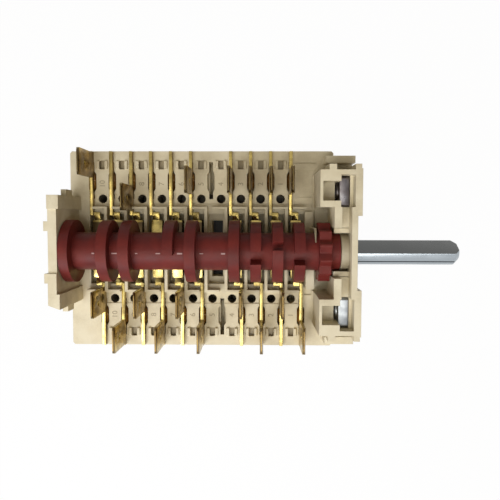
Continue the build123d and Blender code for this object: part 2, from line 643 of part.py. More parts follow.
def front_bracket():
    """Moulded bracket with the front wall, journal saddle and two fixing towers."""
    half = BRACKET_HALF_WIDTH
    bracket = block((-FLANGE_PLATE, 0), (-half, half), (BACK_Z, SHOULDER_Z))
    middle_x = (MIDDLE_WALL_REAR_X, MIDDLE_WALL_FRONT_X)
    bracket += block(middle_x, (-TOWER_INNER_Y, TOWER_INNER_Y), (FLOOR_Z, BRACKET_TOP_Z))
    bracket += block((BASE_FRONT_X, -FLANGE_PLATE), (-half, half), (FLOOR_Z - DECK_THICKNESS, FLOOR_Z))
    outer_y = half - STIFFENER / 2
    for number in range(STIFFENER_COUNT):
        y = outer_y * (2 * number / (STIFFENER_COUNT - 1) - 1)
        y_span = (y - STIFFENER / 2, y + STIFFENER / 2)
        bracket += block((BASE_FRONT_X, -FLANGE_PLATE), y_span, (BACK_Z, FLOOR_Z))
    saddle_y = JOURNAL_RADIUS + RUNNING_CLEARANCE + SADDLE_WALL
    saddle_z = (-saddle_y, SADDLE_TOP_Z)
    bracket += block((SADDLE_REAR_X, MIDDLE_WALL_REAR_X), (-saddle_y, saddle_y), saddle_z)
    bracket += on_both_sides(fixing_tower())
    recess_x = (MIDDLE_WALL_FRONT_X, 1)
    bracket -= block(recess_x, (-BOSS_INNER_Y, BOSS_INNER_Y), (SHOULDER_Z, BRACKET_TOP_Z + 1))
    seat = JOURNAL_RADIUS + RUNNING_CLEARANCE
    seat_x = (SADDLE_REAR_X - 1, MIDDLE_WALL_REAR_X)
    cuts = [rod(seat, seat_x), block(seat_x, (-seat, seat), (0, BRACKET_TOP_Z + 1))]
    cuts.append(rod(SHAFT_RADIUS + SHAFT_HOLE_CLEARANCE, (MIDDLE_WALL_REAR_X - 1, 1)))
    for cut in nut_pocket():
        cuts += on_both_sides(cut)
    return bracket - cuts


# Drum and shaft


def sector(from_angle, to_angle, x_span):
    """Wedge from the axis to beyond the cams, between two angles."""
    steps = 1 + int((to_angle - from_angle) / 60)
    turn = (to_angle - from_angle) / steps
    rim = [polar(2 * CAM_RADIUS, from_angle + step * turn) for step in range(steps + 1)]
    return prism_along_x([(0, 0), *rim], x_span)


def cam(number):
    """One switching cam, cut down to the barrel between its lobes."""
    x = chamber_x(number)
    x_span = (x - CAM_WIDTH / 2, x + CAM_WIDTH / 2)
    disc = rod(CAM_RADIUS, x_span)
    if number in CAM_STEPS:
        wedge = sector(*CAM_STEPS[number], x_span)
        disc -= wedge - rod(CAM_RADIUS - CAM_STEP, x_span)
    valleys = [sector(*angles, x_span) for angles in CAM_VALLEYS[number]]
    return disc - valleys


def star_wheel():
    """Detent wheel with flat-topped teeth; a valley faces straight down."""
    step = 360 / STAR_TEETH
    outline = []
    for tooth in range(STAR_TEETH):
        centre = (tooth + 0.5) * step
        outline += [
            polar(STAR_ROOT_RADIUS, centre - step / 2 + STAR_ROOT_HALF_ANGLE),
            polar(STAR_TIP_RADIUS, centre - STAR_TIP_HALF_ANGLE),
            polar(STAR_TIP_RADIUS, centre + STAR_TIP_HALF_ANGLE),
            polar(STAR_ROOT_RADIUS, centre + step / 2 - STAR_ROOT_HALF_ANGLE),
        ]
    return prism_along_x(outline, (STAR_REAR_X, STAR_FRONT_X))


def shaft_section(radius, x_span, flat):
    """Round bar with one flat along its whole length."""
    length = abs(x_span[1] - x_span[0])
    middle = (x_span[0] + x_span[1]) / 2
    side = 4 * radius
    cutter = Rot(-SHAFT_FLAT_ANGLE, 0, 0) * Pos(middle, 0, flat + side / 2) * Box(length, side, side)
    return rod(radius, x_span) - cutter


def cam_drum():
    """Moulded drum: rear journal, flange, barrel, cams, star wheel and front journal."""
    journal_end = BASE_REAR_X + REAR_JOURNAL_SETBACK
    drum = rod(REAR_JOURNAL_RADIUS, (journal_end, FLANGE_REAR_X + 1))
    flange = rod(FLANGE_RADIUS, (FLANGE_REAR_X, FLANGE_FRONT_X))
    drum += chamfer(flange.edges().filter_by(GeomType.CIRCLE).sort_by(Axis.X)[-1], FLANGE_EDGE)
    drum += rod(BARREL_RADIUS, (FLANGE_FRONT_X - 1, STAR_REAR_X + 1))
    drum += star_wheel()
    drum += rod(JOURNAL_RADIUS, (STAR_FRONT_X - 1, JOURNAL_FRONT_X))
    drum += [cam(number) for number in CAM_VALLEYS]
    clearance = SHAFT_PRESS_CLEARANCE
    bore_x = (SHAFT_END_X - clearance, JOURNAL_FRONT_X + 1)
    return drum - shaft_section(SHAFT_RADIUS + clearance, bore_x, SHAFT_FLAT + clearance)


def operating_shaft():
    """Steel shaft with its flat and chamfered tip."""
    bar = rod(SHAFT_RADIUS, (SHAFT_END_X, SHAFT_TIP_X))
    bar = chamfer(bar.edges().filter_by(GeomType.CIRCLE).sort_by(Axis.X)[-1], SHAFT_CHAMFER)
    return bar & shaft_section(2 * SHAFT_RADIUS, (SHAFT_END_X - 1, SHAFT_TIP_X + 1), SHAFT_FLAT)


# Contacts


def terminal(tab_y):
    """Stamped terminal of the upper row: strip, anchor, tab if it has one, and tongue."""
    top, floor = STRIP_TOP_Z, FLOOR_Z
    tab = []
    if tab_y:
        inner, outer = tab_y - TAB_WIDTH / 2, tab_y + TAB_WIDTH / 2
        tab = [
            (outer, top),
            (outer, TAB_TIP_Z - TAB_CHAMFER),
            (outer - TAB_CHAMFER, TAB_TIP_Z),
            (inner + TAB_CHAMFER, TAB_TIP_Z),
            (inner, TAB_TIP_Z - TAB_CHAMFER),
            (inner, top),
        ]
    anchor_inner, anchor_outer = SLOT_INNER_Y + ANCHOR_CLEARANCE, SLOT_OUTER_Y - ANCHOR_CLEARANCE
    outline = [
        (STRIP_INNER_Y, floor),
        (anchor_inner, floor),
        (anchor_inner, floor - ANCHOR_DEPTH),
        (anchor_outer, floor - ANCHOR_DEPTH),
        (anchor_outer, floor),
        (STRIP_OUTER_Y, floor),
        (STRIP_OUTER_Y, top),
        *tab,
        (STRIP_INNER_Y, top),
    ]
    blade_x = (-BLADE_OFFSET - BLADE_THICKNESS / 2, -BLADE_OFFSET + BLADE_THICKNESS / 2)
    blade = prism_along_x(outline, blade_x)
    if tab_y:
        hole_z = TAB_TIP_Z - TAB_HOLE_FROM_TIP
        blade -= small_hole(TAB_HOLE_RADIUS, (blade_x[0] - 1, blade_x[1] + 1), tab_y, hole_z)
    return blade + tongue(blade_x)


def tongue(blade_x):
    """Bent tongue of a terminal: it steps down from the strip and rises again to under the cam."""
    side_view = [
        (NECK_OUTER_Y, NECK_TOP_Z),
        (NECK_BEND_Y, NECK_TOP_Z),
        (TONGUE_ROOT_Y, TONGUE_ROOT_Z),
        (TONGUE_TIP_Y, TONGUE_TOP_Z),
    ]
    under = [(y, z - TONGUE_THICKNESS) for y, z in reversed(side_view)]
    sheet = prism_along_x(side_view + under, (blade_x[0], TONGUE_FRONT_X))
    link_y = NECK_OUTER_Y - NECK_LINK_WIDTH
    plan = [
        (blade_x[0], NECK_OUTER_Y),
        (NECK_FRONT_X, NECK_OUTER_Y),
        (NECK_FRONT_X, TONGUE_ROOT_Y),
        (TONGUE_FRONT_X, TONGUE_ROOT_Y),
        (TONGUE_FRONT_X, TONGUE_TIP_Y),
        (TONGUE_REAR_X, TONGUE_TIP_Y),
        (TONGUE_REAR_X, TONGUE_ROOT_Y),
        (NECK_REAR_X, TONGUE_ROOT_Y),
        (NECK_REAR_X, link_y),
        (blade_x[0], link_y),
    ]
    return sheet & prism_along_z(plan, (TONGUE_ROOT_Z - 1, NECK_TOP_Z + 1))


def moving_tip():
    """Contact tip welded under a tongue, which slopes."""
    inner, outer = TIP_Y - TIP_LENGTH / 2, TIP_Y + TIP_LENGTH / 2
    fall = TIP_LENGTH / 2 * TONGUE_SLOPE
    outline = [
        (inner, MOVING_TIP_LOW_Z),
        (outer, MOVING_TIP_LOW_Z),
        (outer, TIP_TOP_Z - fall),
        (inner, TIP_TOP_Z + fall),
    ]
    return prism_along_x(outline, (TIP_X - TIP_WIDTH / 2, TIP_X + TIP_WIDTH / 2))


def fixed_tip():
    """Contact tip welded on a bridge."""
    x_span = (TIP_X - TIP_WIDTH / 2, TIP_X + TIP_WIDTH / 2)
    y_span = (TIP_Y - TIP_LENGTH / 2, TIP_Y + TIP_LENGTH / 2)
    return block(x_span, y_span, (BRIDGE_TOP_Z, BRIDGE_TOP_Z + TIP_HEIGHT))


def bridge_contact():
    """Bent strip that stands on the cover and joins the two tongues of a chamber."""
    reach = BRIDGE_HALF_LENGTH
    outline = [
        (-reach, BASE_BOTTOM_Z),
        (-reach, BRIDGE_TOP_Z),
        (reach, BRIDGE_TOP_Z),
        (reach, BASE_BOTTOM_Z),
        (reach - BRIDGE_THICKNESS, BASE_BOTTOM_Z),
        (reach - BRIDGE_THICKNESS, BRIDGE_UNDER_Z),
        (BRIDGE_THICKNESS - reach, BRIDGE_UNDER_Z),
        (BRIDGE_THICKNESS - reach, BASE_BOTTOM_Z),
    ]
    return prism_along_x(outline, (-BRIDGE_WIDTH / 2, BRIDGE_WIDTH / 2))


# Fixings and detent


def fixing_nut(side):
    """Square nut with a round collar towards the rear."""
    y = side * FIXING_Y
    half = NUT_ACROSS / 2
    body = block((NUT_REAR_X, NUT_FRONT_X), (y - half, y + half), (-half, half))
    body = chamfer(body.edges().filter_by(Axis.X), NUT_CORNER)
    body += rod(NUT_COLLAR_RADIUS, (NUT_REAR_X - NUT_COLLAR_LENGTH, NUT_REAR_X), y=y)
    return body - rod(NUT_BORE_RADIUS, (NUT_REAR_X - NUT_COLLAR_LENGTH - 1, NUT_FRONT_X + 1), y=y)


def bracket_screw():
    """Self-cutting screw from the base into a tower of the bracket."""
    head_z = (SCREW_HEAD_TOP_Z - SCREW_HEAD_HEIGHT, SCREW_HEAD_TOP_Z)
    screw = post(SCREW_HEAD_RADIUS, SCREW_X, SCREW_Y, head_z)
    screw += post(SCREW_RADIUS, SCREW_X, SCREW_Y, (SCREW_HEAD_TOP_Z, SCREW_HEAD_TOP_Z + SCREW_LENGTH))
    slot_x = (SCREW_X - SCREW_SLOT / 2, SCREW_X + SCREW_SLOT / 2)
    slot_y = (SCREW_Y - SCREW_HEAD_RADIUS, SCREW_Y + SCREW_HEAD_RADIUS)
    return screw - block(slot_x, slot_y, (head_z[0] - 1, head_z[0] + SCREW_SLOT))


def detent_plunger():
    """Plunger with a roof-shaped nose that drops into a valley of the star wheel."""
    body = post(PLUNGER_RADIUS, DETENT_X, 0, (PLUNGER_BOTTOM_Z, PLUNGER_TIP_Z))
    shoulder_z = PLUNGER_TIP_Z - PLUNGER_NOSE_HEIGHT
    outline = [
        (-PLUNGER_RADIUS, PLUNGER_BOTTOM_Z),
        (-PLUNGER_RADIUS, shoulder_z),
        (-PLUNGER_NOSE_FLAT, PLUNGER_TIP_Z),
        (PLUNGER_NOSE_FLAT, PLUNGER_TIP_Z),
        (PLUNGER_RADIUS, shoulder_z),
        (PLUNGER_RADIUS, PLUNGER_BOTTOM_Z),
    ]
    return body & prism_along_x(outline, (DETENT_X - PLUNGER_RADIUS, DETENT_X + PLUNGER_RADIUS))


def detent_spring():
    """Coil spring between the cover and the plunger, each turn drawn with a few straight runs."""
    low, high = BASE_BOTTOM_Z + SPRING_WIRE_RADIUS, PLUNGER_BOTTOM_Z - SPRING_WIRE_RADIUS
    steps = SPRING_TURNS * SPRING_SIDES
    points = []
    for step in range(steps + 1):
        across, along = polar(SPRING_RADIUS, 360 * step / SPRING_SIDES)
        points.append((DETENT_X + along, across, low + (high - low) * step / steps))
    path = Polyline(*points)
    wire = Plane(origin=path @ 0, z_dir=path % 0) * RegularPolygon(SPRING_WIRE_RADIUS, 6)
    return sweep(wire, path, transition=Transition.RIGHT)


# Writing the pieces


def group(shapes):
    """Several separate solids kept together in one file."""
    return Compound(children=[solid for shape in shapes for solid in shape.solids()])


def pieces():
    """Every piece by name."""
    made = {
        "base_housing": base_housing(),
        "back_cover": back_cover(),
        "front_bracket": front_bracket(),
        "cam_drum": cam_drum(),
        "operating_shaft": operating_shaft(),
        "upper_fixing_nut": fixing_nut(1),
        "lower_fixing_nut": fixing_nut(-1),
        "bracket_screws": group(on_both_sides(bracket_screw())),
        "detent_plunger": detent_plunger(),
        "detent_spring": detent_spring(),
        "moving_contact_tips": group(in_both_rows(moving_tip, FITTED_CHAMBERS)),
        "fixed_contact_tips": group(in_both_rows(fixed_tip, FITTED_CHAMBERS)),
    }
    for number in FITTED_CHAMBERS:
        made[f"bridge_contact_{number:02d}"] = in_row(bridge_contact(), number, True)
        made[f"upper_terminal_{number:02d}"] = in_row(terminal(UPPER_TABS.get(number)), number, True)
        made[f"lower_terminal_{number:02d}"] = in_row(terminal(LOWER_TABS.get(number)), number, False)
    return made


os.makedirs("parts", exist_ok=True)
for name, shape in pieces().items():
    export_step(shape, f"parts/{name}.step")
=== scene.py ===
"""Looks of an oven selector switch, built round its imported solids.

Lengths in the classes are in millimetres, as on the drawing of the switch; the meshes are in metres.
X runs out of the front along the shaft, Y runs across the switch and Z away from its closed back.
"""

import json
import logging
import math
from dataclasses import dataclass, field, replace
from enum import Enum

import bmesh
import bpy
from bpy.types import Material, Mesh, Node, NodeSocket, NodeTree, Object
from mathutils import Matrix, Vector


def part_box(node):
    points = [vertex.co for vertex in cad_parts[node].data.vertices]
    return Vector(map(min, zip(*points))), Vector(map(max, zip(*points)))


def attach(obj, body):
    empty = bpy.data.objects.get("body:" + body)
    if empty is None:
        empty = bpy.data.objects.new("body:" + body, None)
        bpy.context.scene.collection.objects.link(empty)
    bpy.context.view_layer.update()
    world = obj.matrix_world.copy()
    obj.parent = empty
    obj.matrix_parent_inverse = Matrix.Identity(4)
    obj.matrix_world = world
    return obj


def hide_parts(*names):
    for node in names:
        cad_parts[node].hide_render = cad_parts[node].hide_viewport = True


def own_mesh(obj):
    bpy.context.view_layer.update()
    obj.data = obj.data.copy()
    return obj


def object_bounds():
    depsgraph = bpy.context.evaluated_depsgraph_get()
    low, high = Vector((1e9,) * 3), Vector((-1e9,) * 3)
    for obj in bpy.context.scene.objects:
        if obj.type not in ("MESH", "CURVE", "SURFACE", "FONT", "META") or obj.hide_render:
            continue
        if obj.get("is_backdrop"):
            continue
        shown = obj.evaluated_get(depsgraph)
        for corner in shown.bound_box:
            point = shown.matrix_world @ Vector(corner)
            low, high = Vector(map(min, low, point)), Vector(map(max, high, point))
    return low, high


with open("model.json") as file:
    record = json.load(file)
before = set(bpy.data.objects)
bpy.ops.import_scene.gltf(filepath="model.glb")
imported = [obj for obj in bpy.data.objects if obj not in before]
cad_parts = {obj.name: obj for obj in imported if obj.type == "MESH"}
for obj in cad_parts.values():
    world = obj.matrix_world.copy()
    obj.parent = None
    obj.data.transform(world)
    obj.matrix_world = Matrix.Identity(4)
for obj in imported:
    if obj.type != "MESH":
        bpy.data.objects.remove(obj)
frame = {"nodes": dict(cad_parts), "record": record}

MM = 0.001
Colour = tuple[float, float, float, float]
Point = tuple[float, float]
Place = tuple[float, float, float]

# Rays that look for a soft edge, and strips of a rounded edge.
EDGE_SAMPLES = 4
BEVEL_SEGMENTS = 2
# Angle in degrees within which two faces count as one flat face.
FLAT_WITHIN = 0.6
# Distances in metres within which points count as the same.
SAME_POINT = 1e-6
SAME_VERTEX = 1e-7
QUARTER = math.radians(90)

log = logging.getLogger("selector_switch")


class Body(Enum):
    """Rigid bodies of the switch that a piece can ride on."""

    HOUSING = "housing"
    DRUM = "drum"
    PLUNGER = "plunger"


class Slot(Enum):
    """Finishes named in the record."""

    CREAM = "cream_moulding"
    COVER = "cover_board"
    DRUM = "drum_moulding"
    BRASS = "brass"
    SHAFT = "bright_steel"
    ZINC = "zinc_steel"
    SPRING = "spring_steel"
    SILVER = "contact_silver"
    PLUNGER = "plunger_moulding"


def screen_colour(red: int, green: int, blue: int) -> Colour:
    """Turns a colour as a screen shows it into linear values.

    Args:
        red: Red, 0 to 255.
        green: Green, 0 to 255.
        blue: Blue, 0 to 255.

    Returns:
        The linear colour with full opacity.
    """
    linear = []
    for value in (red, green, blue):
        share = value / 255
        linear.append(share / 12.92 if share <= 0.04045 else ((share + 0.055) / 1.055) ** 2.4)
    return (*linear, 1.0)


def metres(*values: float) -> tuple[float, ...]:
    """Turns millimetres into metres."""
    return tuple(value * MM for value in values)


def closed_mesh(name: str, sheet: bmesh.types.BMesh) -> Mesh:
    """Turns the faces of closed shapes outwards and keeps them as mesh.

    Args:
        name: Name of the mesh.
        sheet: The shapes, which are freed.

    Returns:
        The mesh.
    """
    bmesh.ops.recalc_face_normals(sheet, faces=sheet.faces)
    mesh = bpy.data.meshes.new(name)
    sheet.to_mesh(mesh)
    sheet.free()
    return mesh


@dataclass(frozen=True)
class Chambers:
    """The row of contact chambers along the housing, numbered from the rear."""

    first_x: float = -63.8
    pitch: float = 5.0
    count: int = 11
    empty: int = 7


class NodeSheet:
    """A node tree with short calls for adding and joining its nodes."""

    def __init__(self, tree: NodeTree) -> None:
        """Keeps the tree and starts it empty."""
        self.tree = tree
        tree.nodes.clear()

    def add(self, kind: str, inputs: dict[str | int, object] | None = None,
            **settings: object) -> Node:
        """Adds a node.

        Args:
            kind: Blender's name of the node type.
            inputs: What its inputs get, by name or number.
            **settings: Properties of the node by name.

        Returns:
            The new node.
        """
        node = self.tree.nodes.new(kind)
        for name, value in settings.items():
            setattr(node, name, value)
        for name, value in (inputs or {}).items():
            self.feed(node.inputs[name], value)
        return node

    def feed(self, target: NodeSocket, value: object) -> None:
        """Gives an input its value or what feeds it.

        Args:
            target: The input.
            value: A plain value, an output, a node whose first output is meant, or a list of these.
        """
        for source in value if isinstance(value, list) else [value]:
            if isinstance(source, Node):
                self.tree.links.new(source.outputs[0], target)
            elif isinstance(source, NodeSocket):
                self.tree.links.new(source, target)
            else:
                target.default_value = source

    def scalar(self, operation: str, *values: object, **settings: object) -> Node:
        """Adds one step of arithmetic on numbers."""
        return self.add("ShaderNodeMath", dict(enumerate(values)), operation=operation, **settings)

    def vector(self, operation: str, *values: object) -> Node:
        """Adds one step of arithmetic on vectors."""
        return self.add("ShaderNodeVectorMath", dict(enumerate(values)), operation=operation)

    def fade(self, value: object, start: object, end: object, low: float = 0.0,
             high: float = 1.0) -> Node:
        """Goes softly from low to high while the value goes from start to end.

        Args:
            value: The value.
            start: Where the change starts.
            end: Where it ends.
            low: Result at the start.
            high: Result at the end.

        Returns:
            The node with the result.
        """
        return self.add("ShaderNodeMapRange", {
            "Value": value, "From Min": start, "From Max": end, "To Min": low, "To Max": high,
        }, interpolation_type="SMOOTHSTEP")

    def between(self, mask: object, low: float, high: float) -> Node:
        """Spreads a mask over a range of values."""
        return self.add("ShaderNodeMapRange", {"Value": mask, "To Min": low, "To Max": high})

    def blend(self, mask: object, low: object, high: object) -> NodeSocket:
        """Mixes two colours by a mask and returns the result."""
        mix = self.add("ShaderNodeMix", {"Factor": mask, "A": low, "B": high}, data_type="RGBA")
        return mix.outputs["Result"]

    def noise(self, place: object, scale: object, detail: float) -> NodeSocket:
        """Adds noise from 0 to 1 and returns it."""
        texture = self.add("ShaderNodeTexNoise", {"Vector": place, "Scale": scale, "Detail": detail})
        return texture.outputs["Fac"]

    def socket(self, name: str, kind: str, value: object = None, output: bool = False) -> None:
        """Adds a named socket to the tree's own interface.

        Args:
            name: The socket's name.
            kind: The socket's type without its NodeSocket prefix.
            value: Default of an input.
            output: Whether the tree puts it out.
        """
        way = "OUTPUT" if output else "INPUT"
        made = self.tree.interface.new_socket(name=name, in_out=way, socket_type=f"NodeSocket{kind}")
        if value is not None:
            made.default_value = value

    def sizes(self, values: dict[str, object]) -> None:
        """Adds an input for each value, of the value's own kind.

        Args:
            values: Defaults of the inputs by name.
        """
        kinds = {float: "Float", int: "Int", tuple: "Vector"}
        for name, value in values.items():
            self.socket(name, kinds[type(value)], value)


class MaskSheet(NodeSheet):
    """Shader node group that turns a place on a piece into a mask from 0 to 1."""

    def __init__(self, name: str, **values: object) -> None:
        """Starts the group with its inputs and its mask.

        Args:
            name: Name of the group.
            **values: Defaults of its inputs by name.
        """
        super().__init__(bpy.data.node_groups.new(name, "ShaderNodeTree"))
        self.sizes(values)
        self.socket("Mask", "Float", output=True)
        self.given = self.add("NodeGroupInput").outputs
        self.place = self.add("ShaderNodeTexCoord").outputs

    def put_out(self, mask: object) -> NodeTree:
        """Puts out the mask and returns the group."""
        self.add("NodeGroupOutput", {"Mask": mask})
        return self.tree


class PieceSheet(NodeSheet):
    """Geometry nodes of a piece, which end in real mesh with one material."""

    def __init__(self, name: str, values: dict[str, object]) -> None:
        """Starts the tree with its inputs, the last of which is the material.

        Args:
            name: Name of the tree.
            values: Defaults of its inputs by name.
        """
        super().__init__(bpy.data.node_groups.new(name, "GeometryNodeTree"))
        self.tree.is_modifier = True
        self.socket("Geometry", "Geometry", output=True)
        self.sizes(values)
        self.socket("Material", "Material")
        self.given = self.add("NodeGroupInput").outputs

    def row(self, copied: Node, **fields: object) -> Node:
        """Copies a shape along X, from the input Start, by the inputs Pitch and Count.

        Args:
            copied: The shape.
            **fields: Inputs of the copying node, such as its Selection or Scale.

        Returns:
            The copies.
        """
        step = self.add("ShaderNodeCombineXYZ", {"X": self.given["Pitch"]})
        line = self.add("GeometryNodeMeshLine", {
            "Count": self.given["Count"], "Start Location": self.given["Start"], "Offset": step})
        return self.add("GeometryNodeInstanceOnPoints", {"Points": line, "Instance": copied, **fields})

    def put_out(self, shape: Node) -> NodeTree:
        """Makes a shape real, gives it the material, puts it out and returns the tree.

        Args:
            shape: The finished shape.

        Returns:
            The node tree.
        """
        real = self.add("GeometryNodeRealizeInstances", {"Geometry": shape})
        paint = self.add("GeometryNodeSetMaterial", {"Geometry": real, "Material": self.given["Material"]})
        self.add("NodeGroupOutput", {"Geometry": paint})
        return self.tree


class Effects:
    """Shader node groups that several finishes share. Each puts out a mask from 0 to 1."""

    CLOUD_DETAIL = 5.0
    GRAIN_DETAIL = 3.0
    BLOTCH_DETAIL = 2.0
    FRAY_SCALE = 2600.0
    FRAY_DETAIL = 6.0
    STAIN_CONTRAST = 3.0
    STAIN_MIDDLE = 0.5
    CUT_EDGE_UP_TO = 0.2

    def __init__(self) -> None:
        """Builds each group once."""
        self.beyond = self._beyond()
        self.mottle = self._mottle()
        self.hollow = self._hollow()
        self.sheared = self._sheared()
        self.grain = self._grain()
        self.stain = self._stain()

    def _beyond(self) -> NodeTree:
        """The part of a piece that lies past a plane, such as a flat face machined on a bar.

        Returns:
            The group.
        """
        sheet = MaskSheet("past_a_plane", Direction=(0.0, 0.0, 1.0), Reach=0.0, Blur=0.0001)
        along = sheet.vector("DOT_PRODUCT", sheet.place["Object"], sheet.given["Direction"])
        start = sheet.scalar("SUBTRACT", sheet.given["Reach"], sheet.given["Blur"])
        return sheet.put_out(sheet.fade(along.outputs["Value"], start, sheet.given["Reach"]))

    def _hollow(self) -> NodeTree:
        """Inside of a box that holds pockets or holes, on both sides of the shaft.

        Returns:
            The group.
        """
        sheet = MaskSheet("inside_a_box", Low=(0.0, 0.0, 0.0), High=(0.0, 0.0, 0.0))
        parts = sheet.add("ShaderNodeSeparateXYZ", {"Vector": sheet.place["Object"]}).outputs
        aside = sheet.scalar("ABSOLUTE", parts["Y"])
        folded = sheet.add("ShaderNodeCombineXYZ", {"X": parts["X"], "Y": aside, "Z": parts["Z"]})
        above = sheet.vector("SUBTRACT", folded, sheet.given["Low"])
        below = sheet.vector("SUBTRACT", sheet.given["High"], folded)
        room = sheet.add("ShaderNodeSeparateXYZ", {"Vector": sheet.vector("MINIMUM", above, below)}).outputs
        least = sheet.scalar("MINIMUM", sheet.scalar("MINIMUM", room["X"], room["Y"]), room["Z"])
        return sheet.put_out(sheet.scalar("GREATER_THAN", least, 0.0))

    def _sheared(self) -> NodeTree:
        """Cut edges of a sheet that stands across the X axis, apart from its rolled faces, which get a
        lighter colour that is partly bare cut metal and partly painted highlight.

        Returns:
            The group.
        """
        sheet = MaskSheet("sheared_edges", Faces=0.75)
        parts = sheet.add("ShaderNodeSeparateXYZ", {"Vector": sheet.place["Normal"]})
        size = sheet.scalar("ABSOLUTE", parts.outputs["X"])
        return sheet.put_out(sheet.fade(size, self.CUT_EDGE_UP_TO, sheet.given["Faces"], low=1.0, high=0.0))

    def _mottle(self) -> NodeTree:
        """Soft clouds of lighter and darker material.

        Returns:
            The group.
        """
        sheet = MaskSheet("moulding_clouds", Size=300.0, Low=0.35, High=0.65)
        clouds = sheet.noise(sheet.place["Object"], sheet.given["Size"], self.CLOUD_DETAIL)
        return sheet.put_out(sheet.fade(clouds, sheet.given["Low"], sheet.given["High"]))

    def _grain(self) -> NodeTree:
        """Fine lines drawn along the X axis, as on bar that has been pulled through a die.

        Returns:
            The group.
        """
        sheet = MaskSheet("drawn_grain", Across=6000.0, Along=60.0)
        along, across = sheet.given["Along"], sheet.given["Across"]
        stretch = sheet.add("ShaderNodeCombineXYZ", {"X": along, "Y": across, "Z": across})
        place = sheet.vector("MULTIPLY", sheet.place["Object"], stretch)
        return sheet.put_out(sheet.noise(place, 1.0, self.GRAIN_DETAIL))

    def _stain(self) -> NodeTree:
        """Blotches with a ragged edge, such as tarnishing or a thin plating leaves.

        Returns:
            The group.
        """
        sheet = MaskSheet("ragged_stain", Size=250.0, Ragged=0.25, Amount=0.5)
        blotches = sheet.noise(sheet.place["Object"], sheet.given["Size"], self.BLOTCH_DETAIL)
        fray = sheet.noise(sheet.place["Object"], self.FRAY_SCALE, self.FRAY_DETAIL)
        total = sheet.scalar("ADD", blotches, sheet.scalar("MULTIPLY", fray, sheet.given["Ragged"]))
        above = sheet.scalar("SUBTRACT", total, sheet.given["Amount"])
        return sheet.put_out(sheet.scalar(
            "MULTIPLY_ADD", above, self.STAIN_CONTRAST, self.STAIN_MIDDLE, use_clamp=True))


class FinishSheet(NodeSheet):
    """Node sheet of one material, with the steps that every finish takes."""

    def __init__(self, name: str) -> None:
        """Starts a material with its surface shader and output.

        Args:
            name: Name of the material.
        """
        self.material = bpy.data.materials.new(name)
        self.material.use_nodes = True
        super().__init__(self.material.node_tree)
        self.surface = self.add("ShaderNodeBsdfPrincipled")
        self.add("ShaderNodeOutputMaterial", {"Surface": self.surface})

    def effect(self, group: NodeTree, **values: object) -> NodeSocket:
        """Places a shared effect.

        Args:
            group: The effect's node group.
            **values: Its inputs by name.

        Returns:
            Its mask.
        """
        return self.add("ShaderNodeGroup", values, node_tree=group).outputs["Mask"]

    def clouds(self, effects: Effects, size: float, span: Point) -> NodeSocket:
        """Mask of soft clouds, which fade within a span of the noise."""
        return self.effect(effects.mottle, Size=size, Low=span[0], High=span[1])

    def past(self, effects: Effects, direction: Place, reach: float, blur: float) -> NodeSocket:
        """Mask of what lies past a plane.

        Args:
            effects: The shared effects.
            direction: Way that the plane faces.
            reach: How far out it lies, in millimetres.
            blur: Width over which the mask fades, in millimetres.

        Returns:
            The mask.
        """
        return self.effect(effects.beyond, Direction=direction, Reach=reach * MM, Blur=blur * MM)

    def cover(self, colour: NodeSocket, mask: NodeSocket, shade: Colour,
              strength: float = 1.0) -> NodeSocket:
        """Lays a second colour over the first where a mask is high.

        Args:
            colour: The first colour.
            mask: The mask.
            shade: The second colour.
            strength: How much of it covers at most.

        Returns:
            The mixed colour.
        """
        return self.blend(mask if strength == 1.0 else self.between(mask, 0.0, strength), colour, shade)

    def relief(self, height: NodeSocket, depth: float, edge: float) -> Node:
        """Makes a fine relief with softened edges.

        Args:
            height: Height of the relief, 0 to 1.
            depth: Depth of the relief in millimetres.
            edge: Radius of the softened edges in millimetres.

        Returns:
            The node with the surface's direction.
        """
        bevel = self.add("ShaderNodeBevel", {"Radius": edge * MM}, samples=EDGE_SAMPLES)
        return self.add("ShaderNodeBump", {
            "Strength": 1.0, "Distance": depth * MM, "Normal": bevel, "Height": height})

    def dress(self, values: dict[str, object]) -> Material:
        """Gives inputs of the surface their values and returns the finished material.

        Args:
            values: The values by the input's name.

        Returns:
            The material.
        """
        for name, value in values.items():
            self.feed(self.surface.inputs[name], value)
        return self.material


@dataclass(frozen=True)
class Hollow:
    """Box round pockets or holes, in millimetres, and the colour of the painted shade laid in them."""

    low: Place
    high: Place
    dust: Colour


